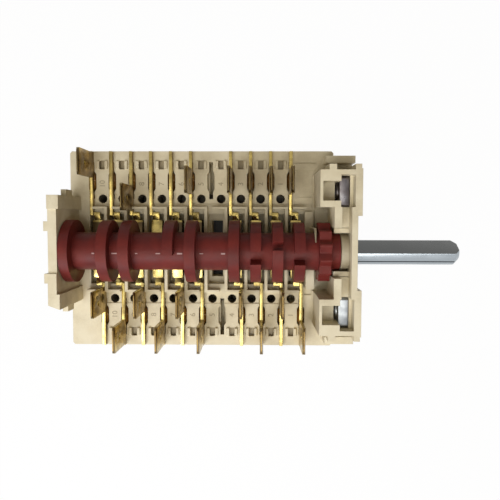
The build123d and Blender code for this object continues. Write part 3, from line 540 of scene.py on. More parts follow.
@dataclass(frozen=True)
class Moulding:
    """A thermoset or glass-filled moulding: a soft sheen over faintly clouded colour."""

    name: str
    light: Colour
    dark: Colour
    dirt: Colour
    dirt_amount: float = 0.78
    dirt_size: float = 190.0
    dirt_ragged: float = 0.3
    dirt_strength: float = 0.35
    gloss_low: float = 0.38
    gloss_high: float = 0.55
    cloud_size: float = 260.0
    cloud_span: Point = (0.3, 0.7)
    speck_size: float = 5200.0
    speck_span: Point = (0.35, 0.75)
    speck_depth: float = 0.012
    edge: float = 0.12
    shine: float = 0.5
    # Boxes in which painted shade darkens the moulding, and how strongly it covers.
    hollows: tuple[Hollow, ...] = ()
    dust_strength: float = 0.8

    def make(self, effects: Effects) -> Material:
        """Builds the material from the shared effects.

        Args:
            effects: The shared effects.

        Returns:
            The material.
        """
        sheet = FinishSheet(self.name)
        clouds = sheet.clouds(effects, self.cloud_size, self.cloud_span)
        specks = sheet.clouds(effects, self.speck_size, self.speck_span)
        grime = sheet.effect(
            effects.stain, Size=self.dirt_size, Ragged=self.dirt_ragged, Amount=self.dirt_amount)
        colour = sheet.cover(sheet.blend(clouds, self.dark, self.light), grime, self.dirt, self.dirt_strength)
        # Painted shade: inside each box the colour is darkened, for the shade in pockets, in holes and on the
        # shaft boss.
        for hollow in self.hollows:
            inside = sheet.effect(effects.hollow, Low=metres(*hollow.low), High=metres(*hollow.high))
            colour = sheet.cover(colour, inside, hollow.dust, self.dust_strength)
        return sheet.dress({
            "Base Color": colour,
            "Roughness": sheet.between(clouds, self.gloss_low, self.gloss_high),
            "Specular IOR Level": self.shine,
            "Normal": sheet.relief(specks, self.speck_depth, self.edge),
        })


@dataclass(frozen=True)
class StampedSheet:
    """Stamped metal sheet with tarnished blotches and the lines of the rolling mill; the blotches' dark
    colour also lays painted shade under the drum and darkens the tab tips where a finish asks for it.
    """

    name: str
    bright: Colour
    dull: Colour
    # Colour of the tarnished blotches, also laid as painted shade under the drum and on the darker tab tips.
    tarnish: Colour
    tarnish_amount: float = 0.68
    tarnish_size: float = 330.0
    tarnish_ragged: float = 0.35
    tarnish_strength: float = 0.6
    gloss_low: float = 0.22
    gloss_high: float = 0.42
    cloud_size: float = 420.0
    cloud_span: Point = (0.35, 0.65)
    across: float = 9000.0
    along: float = 500.0
    line_depth: float = 0.004
    edge: float = 0.06
    film: float = 0.0
    metal: float = 1.0
    # Lighter colour of the cut edges: partly bare cut metal, partly painted highlight.
    sheared: Colour | None = None
    # Height above which the sheet turns darker, and how strongly.
    worn_above: float | None = None
    worn_strength: float = 0.85
    # Painted shade of the drum: Y below which the sheet is darkened, and how strongly.
    burnt_within: float | None = None
    burnt_strength: float = 0.93
    blur: float = 0.5

    def make(self, effects: Effects) -> Material:
        """Builds the material from the shared effects.

        Args:
            effects: The shared effects.

        Returns:
            The material.
        """
        sheet = FinishSheet(self.name)
        clouds = sheet.clouds(effects, self.cloud_size, self.cloud_span)
        stain = sheet.effect(
            effects.stain, Size=self.tarnish_size, Ragged=self.tarnish_ragged, Amount=self.tarnish_amount)
        lines = sheet.effect(effects.grain, Across=self.across, Along=self.along)
        colour = sheet.blend(clouds, self.dull, self.bright)
        # Lighter narrow faces: partly bare cut metal, partly painted highlight.
        if self.sheared:
            colour = sheet.cover(colour, sheet.effect(effects.sheared), self.sheared)
        colour = sheet.cover(colour, stain, self.tarnish, self.tarnish_strength)
        # The sheet turns darker above the given height.
        if self.worn_above is not None:
            tip = sheet.past(effects, (0.0, 0.0, 1.0), self.worn_above, self.blur)
            colour = sheet.cover(colour, tip, self.tarnish, self.worn_strength)
        # Painted shade: the sheet with Y below the given distance is darkened, as the drum's shadow on the
        # upper tongues and the bridges.
        if self.burnt_within is not None:
            inner = sheet.past(effects, (0.0, -1.0, 0.0), -self.burnt_within, self.blur)
            colour = sheet.cover(colour, inner, self.tarnish, self.burnt_strength)
        return sheet.dress({
            "Metallic": self.metal,
            "Coat Weight": self.film,
            "Coat Roughness": self.gloss_low,
            "Base Color": colour,
            "Roughness": sheet.between(stain, self.gloss_low, self.gloss_high),
            "Normal": sheet.relief(lines, self.line_depth, self.edge),
        })


@dataclass(frozen=True)
class DrawnSteel:
    """Steel bar or wire with the long lines of the drawing die."""

    name: str
    bright: Colour
    dull: Colour
    # Painted shade on the shaft's flat: its colour, the way the flat faces, how far out it lies and its blur.
    milled: Colour | None = None
    flat_angle: float = 56.0
    flat_reach: float = 1.48
    flat_blur: float = 0.05
    # Painted shade on the shaft where it runs into the bracket and the drum: its colour, where it starts
    # along X and its blur.
    greased: Colour | None = None
    greased_behind: float = -2.0
    grease_blur: float = 0.3
    # Thin painted dark reflection along the shaft: its colour, the way it faces, how far out it lies and its
    # blur.
    scale_line: Colour | None = None
    scale_angle: float = -47.0
    scale_reach: float = 2.991
    scale_blur: float = 0.004
    across: float = 7000.0
    along: float = 90.0
    line_depth: float = 0.004
    cloud_size: float = 180.0
    cloud_span: Point = (0.3, 0.7)
    edge: float = 0.08
    gloss_low: float = 0.2
    gloss_high: float = 0.36

    def make(self, effects: Effects) -> Material:
        """Builds the material from the shared effects.

        Args:
            effects: The shared effects.

        Returns:
            The material.
        """
        sheet = FinishSheet(self.name)
        lines = sheet.effect(effects.grain, Across=self.across, Along=self.along)
        clouds = sheet.clouds(effects, self.cloud_size, self.cloud_span)
        colour = sheet.blend(lines, self.dull, self.bright)
        bands = (
            # Painted shade on the flat, and a thin painted dark reflection near the lower side of the shaft.
            (self.milled, self.flat_angle, self.flat_reach, self.flat_blur),
            (self.scale_line, self.scale_angle, self.scale_reach, self.scale_blur),
        )
        for shade, angle, reach, blur in bands:
            if shade:
                turn = math.radians(angle)
                band = sheet.past(effects, (0.0, math.sin(turn), math.cos(turn)), reach, blur)
                colour = sheet.cover(colour, band, shade)
        # Painted shade on the shaft behind the given place along X.
        if self.greased:
            inner = sheet.past(effects, (-1.0, 0.0, 0.0), -self.greased_behind, self.grease_blur)
            colour = sheet.cover(colour, inner, self.greased)
        return sheet.dress({
            "Metallic": 1.0,
            "Base Color": colour,
            "Roughness": sheet.between(clouds, self.gloss_low, self.gloss_high),
            "Normal": sheet.relief(lines, self.line_depth, self.edge),
        })


class Finishes:
    """Every finish of the switch, by the record's slot."""

    def __init__(self) -> None:
        """Builds the shared effects and one material for each slot."""
        effects = Effects()
        recipes = {
            Slot.CREAM: Moulding(
                "cream_moulding", screen_colour(226, 217, 192), screen_colour(214, 203, 175),
                screen_colour(148, 132, 98), hollows=(
                    # Painted shade in the nib pockets, inside the holes and on the top of the shaft boss.
                    Hollow((-70.7, 19.6, -10.6), (-9.5, 22.6, -9.35), screen_colour(150, 134, 102)),
                    Hollow((-70.7, 11.3, -17.0), (-15.1, 14.0, -9.25), screen_colour(78, 68, 54)),
                    Hollow((-4.4, -1.0, 0.0), (-2.2, 4.5, 4.5), screen_colour(158, 148, 126)))),
            Slot.COVER: Moulding(
                "cover_board", screen_colour(34, 32, 30), screen_colour(24, 23, 22),
                screen_colour(58, 54, 46)),
            Slot.DRUM: Moulding(
                "drum_moulding", screen_colour(112, 42, 37), screen_colour(96, 34, 31),
                screen_colour(72, 30, 30), gloss_low=0.34, gloss_high=0.5, shine=0.16),
            Slot.BRASS: StampedSheet(
                "brass_sheet", screen_colour(204, 174, 84), screen_colour(176, 148, 62),
                screen_colour(84, 60, 28), film=0.3, sheared=screen_colour(208, 188, 116), worn_above=2.4),
            Slot.SHAFT: DrawnSteel(
                "drawn_steel", screen_colour(180, 187, 192), screen_colour(146, 154, 160),
                # The shaft gets painted shade on its flat, a thin painted dark reflection and painted shade
                # where it runs into the bracket and drum.
                milled=screen_colour(92, 93, 92), scale_line=screen_colour(52, 54, 56),
                greased=screen_colour(70, 64, 58)),
            Slot.ZINC: StampedSheet(
                "zinc_plating", screen_colour(124, 121, 122), screen_colour(98, 94, 95),
                screen_colour(76, 69, 70), tarnish_amount=0.62),
            Slot.SPRING: DrawnSteel(
                "spring_wire", screen_colour(178, 178, 176), screen_colour(140, 140, 138)),
            Slot.SILVER: StampedSheet(
                "silver_contact", screen_colour(226, 224, 216), screen_colour(200, 198, 190),
                screen_colour(120, 112, 100)),
            Slot.PLUNGER: Moulding(
                "plunger_moulding", screen_colour(214, 212, 204), screen_colour(200, 197, 188),
                screen_colour(160, 154, 140)),
        }
        self.materials = {slot: recipe.make(effects) for slot, recipe in recipes.items()}
        # Painted light: a lighter copy of the zinc plating for the lower nut, which faces the light; the
        # upper nut keeps the plain plating.
        self.fresh_zinc = StampedSheet(
            "fresh_zinc_plating", screen_colour(156, 160, 163), screen_colour(138, 142, 146),
            screen_colour(112, 116, 122), tarnish_amount=0.75, gloss_low=0.36, gloss_high=0.5).make(effects)
        # Painted shade: a darker copy of the brass for the upper row, which lies in shade, and from it a copy
        # also darkened as the drum's shadow.
        dim_brass = StampedSheet(
            "dim_brass_sheet", screen_colour(174, 140, 48), screen_colour(142, 110, 32),
            screen_colour(58, 40, 14), film=0.4, sheared=screen_colour(178, 156, 86), worn_above=2.4)
        self.dim_brass = dim_brass.make(effects)
        self.burnt_brass = replace(dim_brass, name="burnt_brass_sheet", burnt_within=6.6).make(effects)
        self.formed_brass = StampedSheet(
            "formed_brass_sheet", screen_colour(176, 132, 62), screen_colour(140, 98, 44),
            screen_colour(66, 44, 22), tarnish_amount=0.64, film=0.7, metal=0.5).make(effects)
        # Painted highlight: pale paint for the glints on the drum's barrel.
        self.tick_paint = Moulding(
            "tick_paint", screen_colour(196, 166, 164), screen_colour(160, 122, 120),
            screen_colour(150, 100, 96), gloss_low=0.25, gloss_high=0.4).make(effects)
        self.figures = Moulding(
            "moulded_figures", screen_colour(178, 166, 138), screen_colour(160, 148, 120),
            screen_colour(140, 126, 98)).make(effects)

    def lay_on(self, piece: Object, slot: Slot) -> None:
        """Gives a piece one finish all over."""
        piece.data.materials.clear()
        piece.data.materials.append(self.materials[slot])

    def dress_solid(self, node: str, slot: Slot) -> None:
        """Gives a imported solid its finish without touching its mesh."""
        for place in frame["nodes"][node].material_slots:
            place.material = self.materials[slot]


class Workshop:
    """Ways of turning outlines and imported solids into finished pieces."""

    def __init__(self, finishes: Finishes) -> None:
        """Keeps the finishes that the pieces get."""
        self.finishes = finishes

    def finish(self, piece: Object, body: Body, slot: Slot, *nodes: str,
               look: Material | None = None) -> None:
        """Dresses a piece, lets it ride on its body and hides the solids it stands for.

        Args:
            piece: The finished piece.
            body: The body that carries it.
            slot: Its finish.
            *nodes: The solids that it replaces.
            look: Material in place of the finish's own.
        """
        self.finishes.lay_on(piece, slot)
        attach(piece, body.value)
        if nodes:
            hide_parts(*nodes)
        if look:
            piece.data.materials[0] = look
        log.info("%s: %d faces, rides on %s", piece.name, len(piece.data.polygons), body.value)

    @staticmethod
    def piece(name: str, mesh: Mesh) -> Object:
        """Places a mesh in the scene as a piece at the origin.

        Args:
            name: Name of the piece.
            mesh: Its mesh in metres.

        Returns:
            The piece.
        """
        made = bpy.data.objects.new(name, mesh)
        bpy.context.scene.collection.objects.link(made)
        return made

    @staticmethod
    def blank(name: str) -> Object:
        """Places an empty piece in the scene, for a node tree to fill."""
        return Workshop.piece(name, bpy.data.meshes.new(name))

    @staticmethod
    def settle(piece: Object) -> None:
        """Turns a piece's modifiers into plain mesh and takes them off.

        Args:
            piece: The piece.
        """
        evaluated = piece.evaluated_get(bpy.context.evaluated_depsgraph_get())
        mesh = bpy.data.meshes.new_from_object(evaluated)
        piece.modifiers.clear()
        piece.data = mesh

    def soften(self, piece: Object, edge: float, angle: float = 30.0) -> None:
        """Rounds the sharp edges of a piece and shades its round faces smoothly.

        Args:
            piece: The piece.
            edge: Width of the rounding in millimetres.
            angle: Least angle of an edge that counts as sharp, in degrees.
        """
        piece.data.shade_smooth()
        bevel = piece.modifiers.new("rounded_edges", "BEVEL")
        bevel.limit_method = "ANGLE"
        bevel.angle_limit = math.radians(angle)
        bevel.width = edge * MM
        bevel.segments = BEVEL_SEGMENTS
        bevel.harden_normals = True
        self.settle(piece)

    def rounded_copy(self, node: str, edge: float) -> Object:
        """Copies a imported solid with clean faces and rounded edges.

        Args:
            node: Name of the solid.
            edge: Width of the rounding in millimetres.

        Returns:
            The copy, not yet dressed.
        """
        copy = self.clean_copy(node)
        self.soften(copy, edge)
        return copy

    def clean_copy(self, node: str) -> Object:
        """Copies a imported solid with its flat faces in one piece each.

        Args:
            node: Name of the solid.

        Returns:
            The copy, not yet dressed.
        """
        mesh = frame["nodes"][node].data.copy()
        sheet = bmesh.new()
        sheet.from_mesh(mesh)
        bmesh.ops.remove_doubles(sheet, verts=sheet.verts, dist=SAME_VERTEX)
        flat = math.radians(FLAT_WITHIN)
        bmesh.ops.dissolve_limit(sheet, angle_limit=flat, verts=sheet.verts, edges=sheet.edges)
        sheet.to_mesh(mesh)
        sheet.free()
        return self.piece(f"{node}_rounded", mesh)


@dataclass
class CamDrum:
    """The red-brown drum: flange, barrel, cams, star wheel and journals, all one moulding.

    Angles run from straight up (Z) towards +Y.
    """

    chambers: Chambers = Chambers()
    barrel_radius: float = 4.45
    barrel_x: Point = (-67.0, -8.5)
    cam_radius: float = 7.3
    cam_width: float = 2.45
    cam_step: float = 0.4
    cam_root_radius: float = 3.6
    flange_radius: float = 7.4
    flange_x: Point = (-68.5, -66.3)
    rear_journal_radius: float = 2.6
    rear_journal_x: Point = (-70.4, -68.0)
    front_journal_radius: float = 4.35
    front_journal_x: Point = (-7.0, -4.25)
    star_x: Point = (-9.3, -6.55)
    star_teeth: int = 12
    star_tip_radius: float = 7.3
    star_root_radius: float = 5.85
    star_rounding: float = 0.5
    star_steps: int = 4
    # Painted glints on the barrel: size, random shrink, angle round the barrel, count and seed.
    tick_size: Place = (1.5, 0.36, 0.12)
    tick_wear: Place = (0.3, 0.55, 1.0)
    tick_angle: float = -4.0
    tick_count: int = 7
    tick_seed: int = 5
    edge: float = 0.16
    arc_step: float = 4.0
    sides: int = 72
    flange_sides: int = 90
    rear_journal_sides: int = 48
    lobes: dict[int, tuple[Point, ...]] = field(default_factory=lambda: {
        1: ((152, 208),),
        2: ((192, 528),),
        3: ((178, 510),),
        4: ((150, 210),),
        5: ((-5, 125),),
        6: ((206, 542),),
        8: ((179, 515),),
        9: ((2.5, 172), (205, 339)),
        10: ((20.5, 140), (170, 365)),
        11: ((1, 160), (220, 338)),
    })
    steps: dict[int, Point] = field(default_factory=lambda: {9: (38.5, 128), 10: (51.5, 120), 11: (39, 130)})

    def _ring(self, low: float, high: float, radius: float, step: Point | None) -> list[Point]:
        """Outline of one cam lobe.

        Args:
            low: Angle at which the lobe starts.
            high: Angle at which it ends.
            radius: Its outer radius.
            step: Angles between which it is stepped down, if it is.

        Returns:
            Y and Z of the outline's points in millimetres.
        """
        marks = {low, high}
        if step and low < step[0] < high:
            marks |= set(step)
        count = math.ceil((high - low) / self.arc_step)
        marks |= {low + (high - low) * k / count for k in range(count + 1)}
        outer, lowered = [], radius - self.cam_step
        for angle in sorted(marks):
            stepped = bool(step) and step[0] <= angle <= step[1]
            radii = [lowered if stepped else radius]
            if step and low < angle < high and angle in step:
                radii = [radius, lowered] if angle == step[0] else [lowered, radius]
            outer += [self._polar(value, angle) for value in radii]
        inner = [self._polar(self.cam_root_radius, high - (high - low) * k / count) for k in range(count + 1)]
        return outer + inner

    @staticmethod
    def _polar(radius: float, angle: float) -> Point:
        """Y and Z at a radius and an angle in degrees."""
        turn = math.radians(angle)
        return radius * math.sin(turn), radius * math.cos(turn)

    def _round(self, radius: float, sides: int) -> list[Point]:
        """Outline of a full circle."""
        return [self._polar(radius, 360 * k / sides) for k in range(sides)]

    @staticmethod
    def _extrude(sheet: bmesh.types.BMesh, outline: list[Point], x_span: Point) -> None:
        """Adds a closed prism along X.

        Args:
            sheet: Mesh under construction.
            outline: Y and Z of the outline in millimetres.
            x_span: Its two ends along X in millimetres.
        """
        rings = []
        for x in x_span:
            rings.append([sheet.verts.new(Vector((x, y, z)) * MM) for y, z in outline])
        sheet.faces.new(rings[0])
        sheet.faces.new(list(reversed(rings[1])))
        for k in range(len(outline)):
            after = (k + 1) % len(outline)
            sheet.faces.new((rings[0][after], rings[0][k], rings[1][k], rings[1][after]))

    def body_mesh(self) -> Mesh:
        """Mesh of the drum without its star wheel.

        Returns:
            The mesh in metres.
        """
        sheet = bmesh.new()
        rounds = (
            (self.flange_radius, self.flange_sides, self.flange_x),
            (self.barrel_radius, self.sides, self.barrel_x),
            (self.rear_journal_radius, self.rear_journal_sides, self.rear_journal_x),
            (self.front_journal_radius, self.sides, self.front_journal_x),
        )
        for radius, sides, x_span in rounds:
            self._extrude(sheet, self._round(radius, sides), x_span)
        for number, lobes in self.lobes.items():
            x = self.chambers.first_x + (number - 1) * self.chambers.pitch
            x_span = (x - self.cam_width / 2, x + self.cam_width / 2)
            for low, high in lobes:
                outline = self._ring(low, high, self.cam_radius, self.steps.get(number))
                self._extrude(sheet, outline, x_span)
        return closed_mesh("cam_drum_moulding", sheet)

    def star_tree(self) -> NodeTree:
        """Geometry nodes of a wheel with rounded teeth.

        Returns:
            The node tree, whose inputs are the wheel's sizes in metres.
        """
        sheet = PieceSheet("star_wheel", {
            "Teeth": 12, "Root Radius": 0.006, "Tip Radius": 0.007, "Rounding": 0.0004, "Width": 0.003,
            "Start": 0.0, "Turn": 0.0})
        given = sheet.given
        star = sheet.add("GeometryNodeCurveStar", {
            "Points": given["Teeth"], "Inner Radius": given["Root Radius"],
            "Outer Radius": given["Tip Radius"]})
        rounded = sheet.add("GeometryNodeFilletCurve", {
            "Curve": star, "Radius": given["Rounding"], "Count": self.star_steps, "Limit Radius": True,
        }, mode="POLY")
        face = sheet.add("GeometryNodeFillCurve", {"Curve": rounded}, mode="NGONS")
        rest = sheet.add("GeometryNodeExtrudeMesh", {
            "Mesh": face, "Offset Scale": given["Width"], "Individual": False})
        back = sheet.add("GeometryNodeFlipFaces", {"Mesh": face})
        both = sheet.add("GeometryNodeJoinGeometry", {"Geometry": [back, rest]})
        weld = sheet.add("GeometryNodeMergeByDistance", {"Geometry": both, "Distance": SAME_POINT})
        stand = sheet.add("GeometryNodeTransform", {"Geometry": weld, "Rotation": (0.0, QUARTER, 0.0)})
        turn = sheet.add("ShaderNodeCombineXYZ", {"X": given["Turn"]})
        place = sheet.add("ShaderNodeCombineXYZ", {"X": given["Start"]})
        return sheet.put_out(sheet.add("GeometryNodeTransform", {
            "Geometry": stand, "Rotation": turn, "Translation": place}))

    def tick_tree(self) -> NodeTree:
        """Geometry nodes of a row of pale blocks that stand as painted glints, each shrunk at random to its
        own length and width.

        Returns:
            The node tree, whose inputs are the sizes in metres.
        """
        sheet = PieceSheet("row_of_ticks", {
            "Size": (0.001, 0.001, 0.001), "Start": (0.0, 0.0, 0.0), "Pitch": 0.005, "Count": 7,
            "Seed": 1})
        glint = sheet.add("GeometryNodeMeshCube", {"Size": sheet.given["Size"]})
        scatter = sheet.add("FunctionNodeRandomValue", {
            "Min": self.tick_wear, "Max": (1.0, 1.0, 1.0), "Seed": sheet.given["Seed"],
        }, data_type="FLOAT_VECTOR")
        return sheet.put_out(sheet.row(glint, Scale=scatter.outputs["Value"]))

    def _ticks(self, shop: Workshop) -> None:
        """Puts a short pale block on the barrel between neighbouring chambers, as a painted glint of the
        glossy barrel.

        Args:
            shop: The workshop.
        """
        glints = shop.blank("barrel_painted_glints")
        y, z = self._polar(self.barrel_radius, self.tick_angle)
        run_nodes(glints, self.tick_tree(), {
            "Size": metres(*self.tick_size),
            "Start": metres(self.chambers.first_x + self.chambers.pitch / 2, y, z),
            "Pitch": self.chambers.pitch * MM,
            "Count": self.tick_count,
            "Seed": self.tick_seed,
            "Material": shop.finishes.tick_paint,
        })
        shop.soften(glints, self.tick_size[2] / 3)
        shop.finish(glints, Body.DRUM, Slot.DRUM, look=shop.finishes.tick_paint)

    def build(self, shop: Workshop) -> None:
        """Builds and dresses the drum, its star wheel and the painted glints on its barrel.

        Args:
            shop: The workshop.
        """
        drum = shop.piece("cam_drum_moulding", self.body_mesh())
        shop.soften(drum, self.edge)
        shop.finish(drum, Body.DRUM, Slot.DRUM, "cam_drum")
        self._ticks(shop)
        star = shop.blank("star_wheel")
        run_nodes(star, self.star_tree(), {
            "Teeth": self.star_teeth,
            "Root Radius": self.star_root_radius * MM,
            "Tip Radius": self.star_tip_radius * MM,
            "Rounding": self.star_rounding * MM,
            "Width": (self.star_x[1] - self.star_x[0]) * MM,
            "Start": self.star_x[0] * MM,
            "Turn": math.radians(180 / self.star_teeth),
            "Material": shop.finishes.materials[Slot.DRUM],
        })
        shop.soften(star, self.edge / 2, angle=50.0)
        shop.finish(star, Body.DRUM, Slot.DRUM, "cam_drum")


def run_nodes(piece: Object, tree: NodeTree, values: dict[str, object]) -> None:
    """Runs a geometry node tree on a piece and keeps the result as plain mesh.

    Args:
        piece: The piece, empty or with a starting mesh.
        tree: The node tree.
        values: Its inputs by name.
    """
    modifier = piece.modifiers.new(tree.name, "NODES")
    modifier.node_group = tree
    names = {item.name: item.identifier for item in tree.interface.items_tree
             if item.item_type == "SOCKET" and item.in_out == "INPUT"}
    for name, value in values.items():
        modifier[names[name]] = value
    Workshop.settle(piece)


@dataclass
class Coil:
    """Wire wound round an axis: the detent spring, or the crests of a screw thread."""

    radius: float
    wire_radius: float
    turns: float
    length: float
    centre: Place
    along_x: bool = False
    sides: int = 8

    @staticmethod
    def tree(steps: int = 28) -> NodeTree:
        """Geometry nodes of a coil.

        Args:
            steps: Points of the wire's line in each turn.

        Returns:
            The node tree, whose inputs are the coil's sizes in metres.
        """
        sheet = PieceSheet("wire_coil", {
            "Radius": 0.001, "Wire Radius": 0.0002, "Turns": 4.0, "Length": 0.004, "Sides": 8,
            "Direction": (0.0, 0.0, 0.0), "Place": (0.0, 0.0, 0.0)})
        given = sheet.given
        spiral = sheet.add("GeometryNodeCurveSpiral", {
            "Resolution": steps, "Rotations": given["Turns"], "Height": given["Length"],
            "Start Radius": given["Radius"], "End Radius": given["Radius"]})
        wire = sheet.add("GeometryNodeCurvePrimitiveCircle", {
            "Resolution": given["Sides"], "Radius": given["Wire Radius"]})
        tube = sheet.add("GeometryNodeCurveToMesh", {
            "Curve": spiral, "Profile Curve": wire, "Fill Caps": True})
        return sheet.put_out(sheet.add("GeometryNodeTransform", {
            "Geometry": tube, "Rotation": given["Direction"], "Translation": given["Place"]}))

    def build(self, name: str, tree: NodeTree, material: Material) -> Object:
        """Builds the coil.

        Args:
            name: Name of the piece.
            tree: The coil's node tree.
            material: Its finish.

        Returns:
            The piece, at the origin.
        """
        piece = Workshop.blank(name)
        run_nodes(piece, tree, {
            "Radius": self.radius * MM,
            "Wire Radius": self.wire_radius * MM,
            "Turns": self.turns,
            "Length": self.length * MM,
            "Sides": self.sides,
            "Direction": (0.0, QUARTER, 0.0) if self.along_x else (0.0, 0.0, 0.0),
            "Place": metres(*self.centre),
            "Material": material,
        })
        piece.data.shade_smooth()
        return piece


@dataclass
class Contacts:
    """Brass terminals and bridges with their silver tips.

    The tip of each push-on tab is thinned to a wedge, and beside each blade the formed lock of its
    anchor shows in the pocket of the floor.
    """

    chambers: Chambers = Chambers()
    # Upper terminal that gets the upper row's painted shade but not the drum's.
    unburnt_terminal: str = "upper_terminal_04"
    blade_offset: float = 1.38
    tab_tip_z: float = 2.8
    wedge_height: float = 1.1
    wedge_share: float = 0.6
    terminal_edge: float = 0.14
    lock_y: float = 17.0
    lock_half_length: float = 3.3
    lock_flat_half: float = 1.75
    lock_half_width: float = 0.88
    lock_foot_z: float = -9.4
    lock_rise: float = 0.8
    lock_taper_from: float = 0.6
    lock_grid: tuple[int, int] = (9, 25)
    dimple_radius: float = 0.26
    dimple_place: Place = (0.55, 0.3, 0.48)
    dimple_sides: tuple[int, int] = (14, 8)

    def _wedge(self, mesh: Mesh) -> None:
        """Thins the tip of a tab from both faces.

        Args:
            mesh: Mesh of one terminal, in metres.
        """
        start = (self.tab_tip_z - self.wedge_height) * MM
        sheet = bmesh.new()
        sheet.from_mesh(mesh)
        cut = [*sheet.verts, *sheet.edges, *sheet.faces]
        bmesh.ops.bisect_plane(sheet, geom=cut, plane_co=(0.0, 0.0, start), plane_no=(0.0, 0.0, 1.0))
        above = [vert for vert in sheet.verts if vert.co.z > start + SAME_POINT]
        if above:
            middle = (min(vert.co.x for vert in above) + max(vert.co.x for vert in above)) / 2
            for vert in above:
                share = self.wedge_share * (vert.co.z - start) / (self.wedge_height * MM)
                vert.co.x += (middle - vert.co.x) * share
        sheet.to_mesh(mesh)
        sheet.free()

    def lock_tree(self) -> NodeTree:
        """Geometry nodes of one row of formed locks, each a lens-shaped swelling with a dimple.

        Returns:
            The node tree, whose inputs are the sizes in metres.
        """
        sheet = PieceSheet("anchor_locks", {
            "Half Length": 0.003, "Flat Half": 0.002, "Half Width": 0.001, "Rise": 0.001,
            "Dimple": 0.0003, "Pitch": 0.005, "Count": 11, "Left Out": 6,
            "Start": (0.0, 0.0, 0.0), "Dimple Place": (0.0, 0.0, 0.0)})
        given = sheet.given
        grid = sheet.add("GeometryNodeMeshGrid", {
            "Size X": 2.0, "Size Y": 2.0, "Vertices X": self.lock_grid[0], "Vertices Y": self.lock_grid[1]})
        where = sheet.add("GeometryNodeInputPosition")
        parts = sheet.add("ShaderNodeSeparateXYZ", {"Vector": where}).outputs
        along = sheet.scalar("MULTIPLY", parts["Y"], given["Half Length"])
        flat = sheet.scalar("MULTIPLY", given["Flat Half"], self.lock_taper_from)
        share = sheet.fade(sheet.scalar("ABSOLUTE", along), flat, given["Half Length"], low=1.0, high=0.0)
        across = sheet.scalar("MULTIPLY", sheet.scalar("MULTIPLY", parts["X"], share), given["Half Width"])
        crown = sheet.scalar("SUBTRACT", 1.0, sheet.scalar("MULTIPLY", parts["X"], parts["X"]))
        height = sheet.scalar("MULTIPLY", sheet.scalar("MULTIPLY", crown, share), given["Rise"])
        moved = sheet.add("ShaderNodeCombineXYZ", {"X": across, "Y": along, "Z": height})
        dome = sheet.add("GeometryNodeSetPosition", {"Geometry": grid, "Position": moved})
        ball = sheet.add("GeometryNodeMeshUVSphere", {
            "Segments": self.dimple_sides[0], "Rings": self.dimple_sides[1], "Radius": given["Dimple"]})
        dimple = sheet.add("GeometryNodeTransform", {
            "Geometry": ball, "Translation": given["Dimple Place"]})
        lock = sheet.add("GeometryNodeJoinGeometry", {"Geometry": [dimple, dome]})
        smooth = sheet.add("GeometryNodeSetShadeSmooth", {"Geometry": lock})
        used = sheet.add("FunctionNodeCompare", data_type="INT", operation="NOT_EQUAL")
        ends = [socket for socket in used.inputs if socket.type == "INT"]
        sheet.feed(ends[0], sheet.add("GeometryNodeInputIndex"))
        sheet.feed(ends[1], given["Left Out"])
        return sheet.put_out(sheet.row(smooth, Selection=used))

    def _locks(self, shop: Workshop) -> None:
        """Builds the two rows of formed locks.

        Args:
            shop: The workshop.
        """
        tree = self.lock_tree()
        for name, side in (("upper_anchor_locks", 1), ("lower_anchor_locks", -1)):
            row = shop.blank(name)
            start_x = self.chambers.first_x - side * self.blade_offset
            run_nodes(row, tree, {
                "Half Length": self.lock_half_length * MM,
                "Flat Half": self.lock_flat_half * MM,
                "Half Width": self.lock_half_width * MM,
                "Rise": self.lock_rise * MM,
                "Dimple": self.dimple_radius * MM,
                "Pitch": self.chambers.pitch * MM,
                "Count": self.chambers.count,
                "Left Out": self.chambers.empty - 1,
                "Start": metres(start_x, side * self.lock_y, self.lock_foot_z),
                "Dimple Place": metres(*self.dimple_place),
                "Material": shop.finishes.formed_brass,
            })
            shop.finish(row, Body.HOUSING, Slot.BRASS, look=shop.finishes.formed_brass)

    def build(self, shop: Workshop) -> None:
        """Builds the terminals and their locks and dresses the contacts under the drum.

        Args:
            shop: The workshop.
        """
        for entry in frame["record"]["subparts"]:
            node, slot = entry["node"], Slot(entry["material_slot"])
            if "terminal" in node:
                terminal = shop.clean_copy(node)
                self._wedge(terminal.data)
                shop.soften(terminal, self.terminal_edge)
                # Upper terminals get brass with painted shade under the drum; the listed one gets only the
                # upper row's painted shade.
                look = shop.finishes.burnt_brass if node.startswith("upper") else None
                if node == self.unburnt_terminal:
                    look = shop.finishes.dim_brass
                shop.finish(terminal, Body.HOUSING, slot, node, look=look)
            elif "contact" in node:
                shop.finishes.dress_solid(node, slot)
                # Brass bridges get the brass with the drum's painted shade.
                if slot is Slot.BRASS:
                    for place in frame["nodes"][node].material_slots:
                        place.material = shop.finishes.burnt_brass
        self._locks(shop)


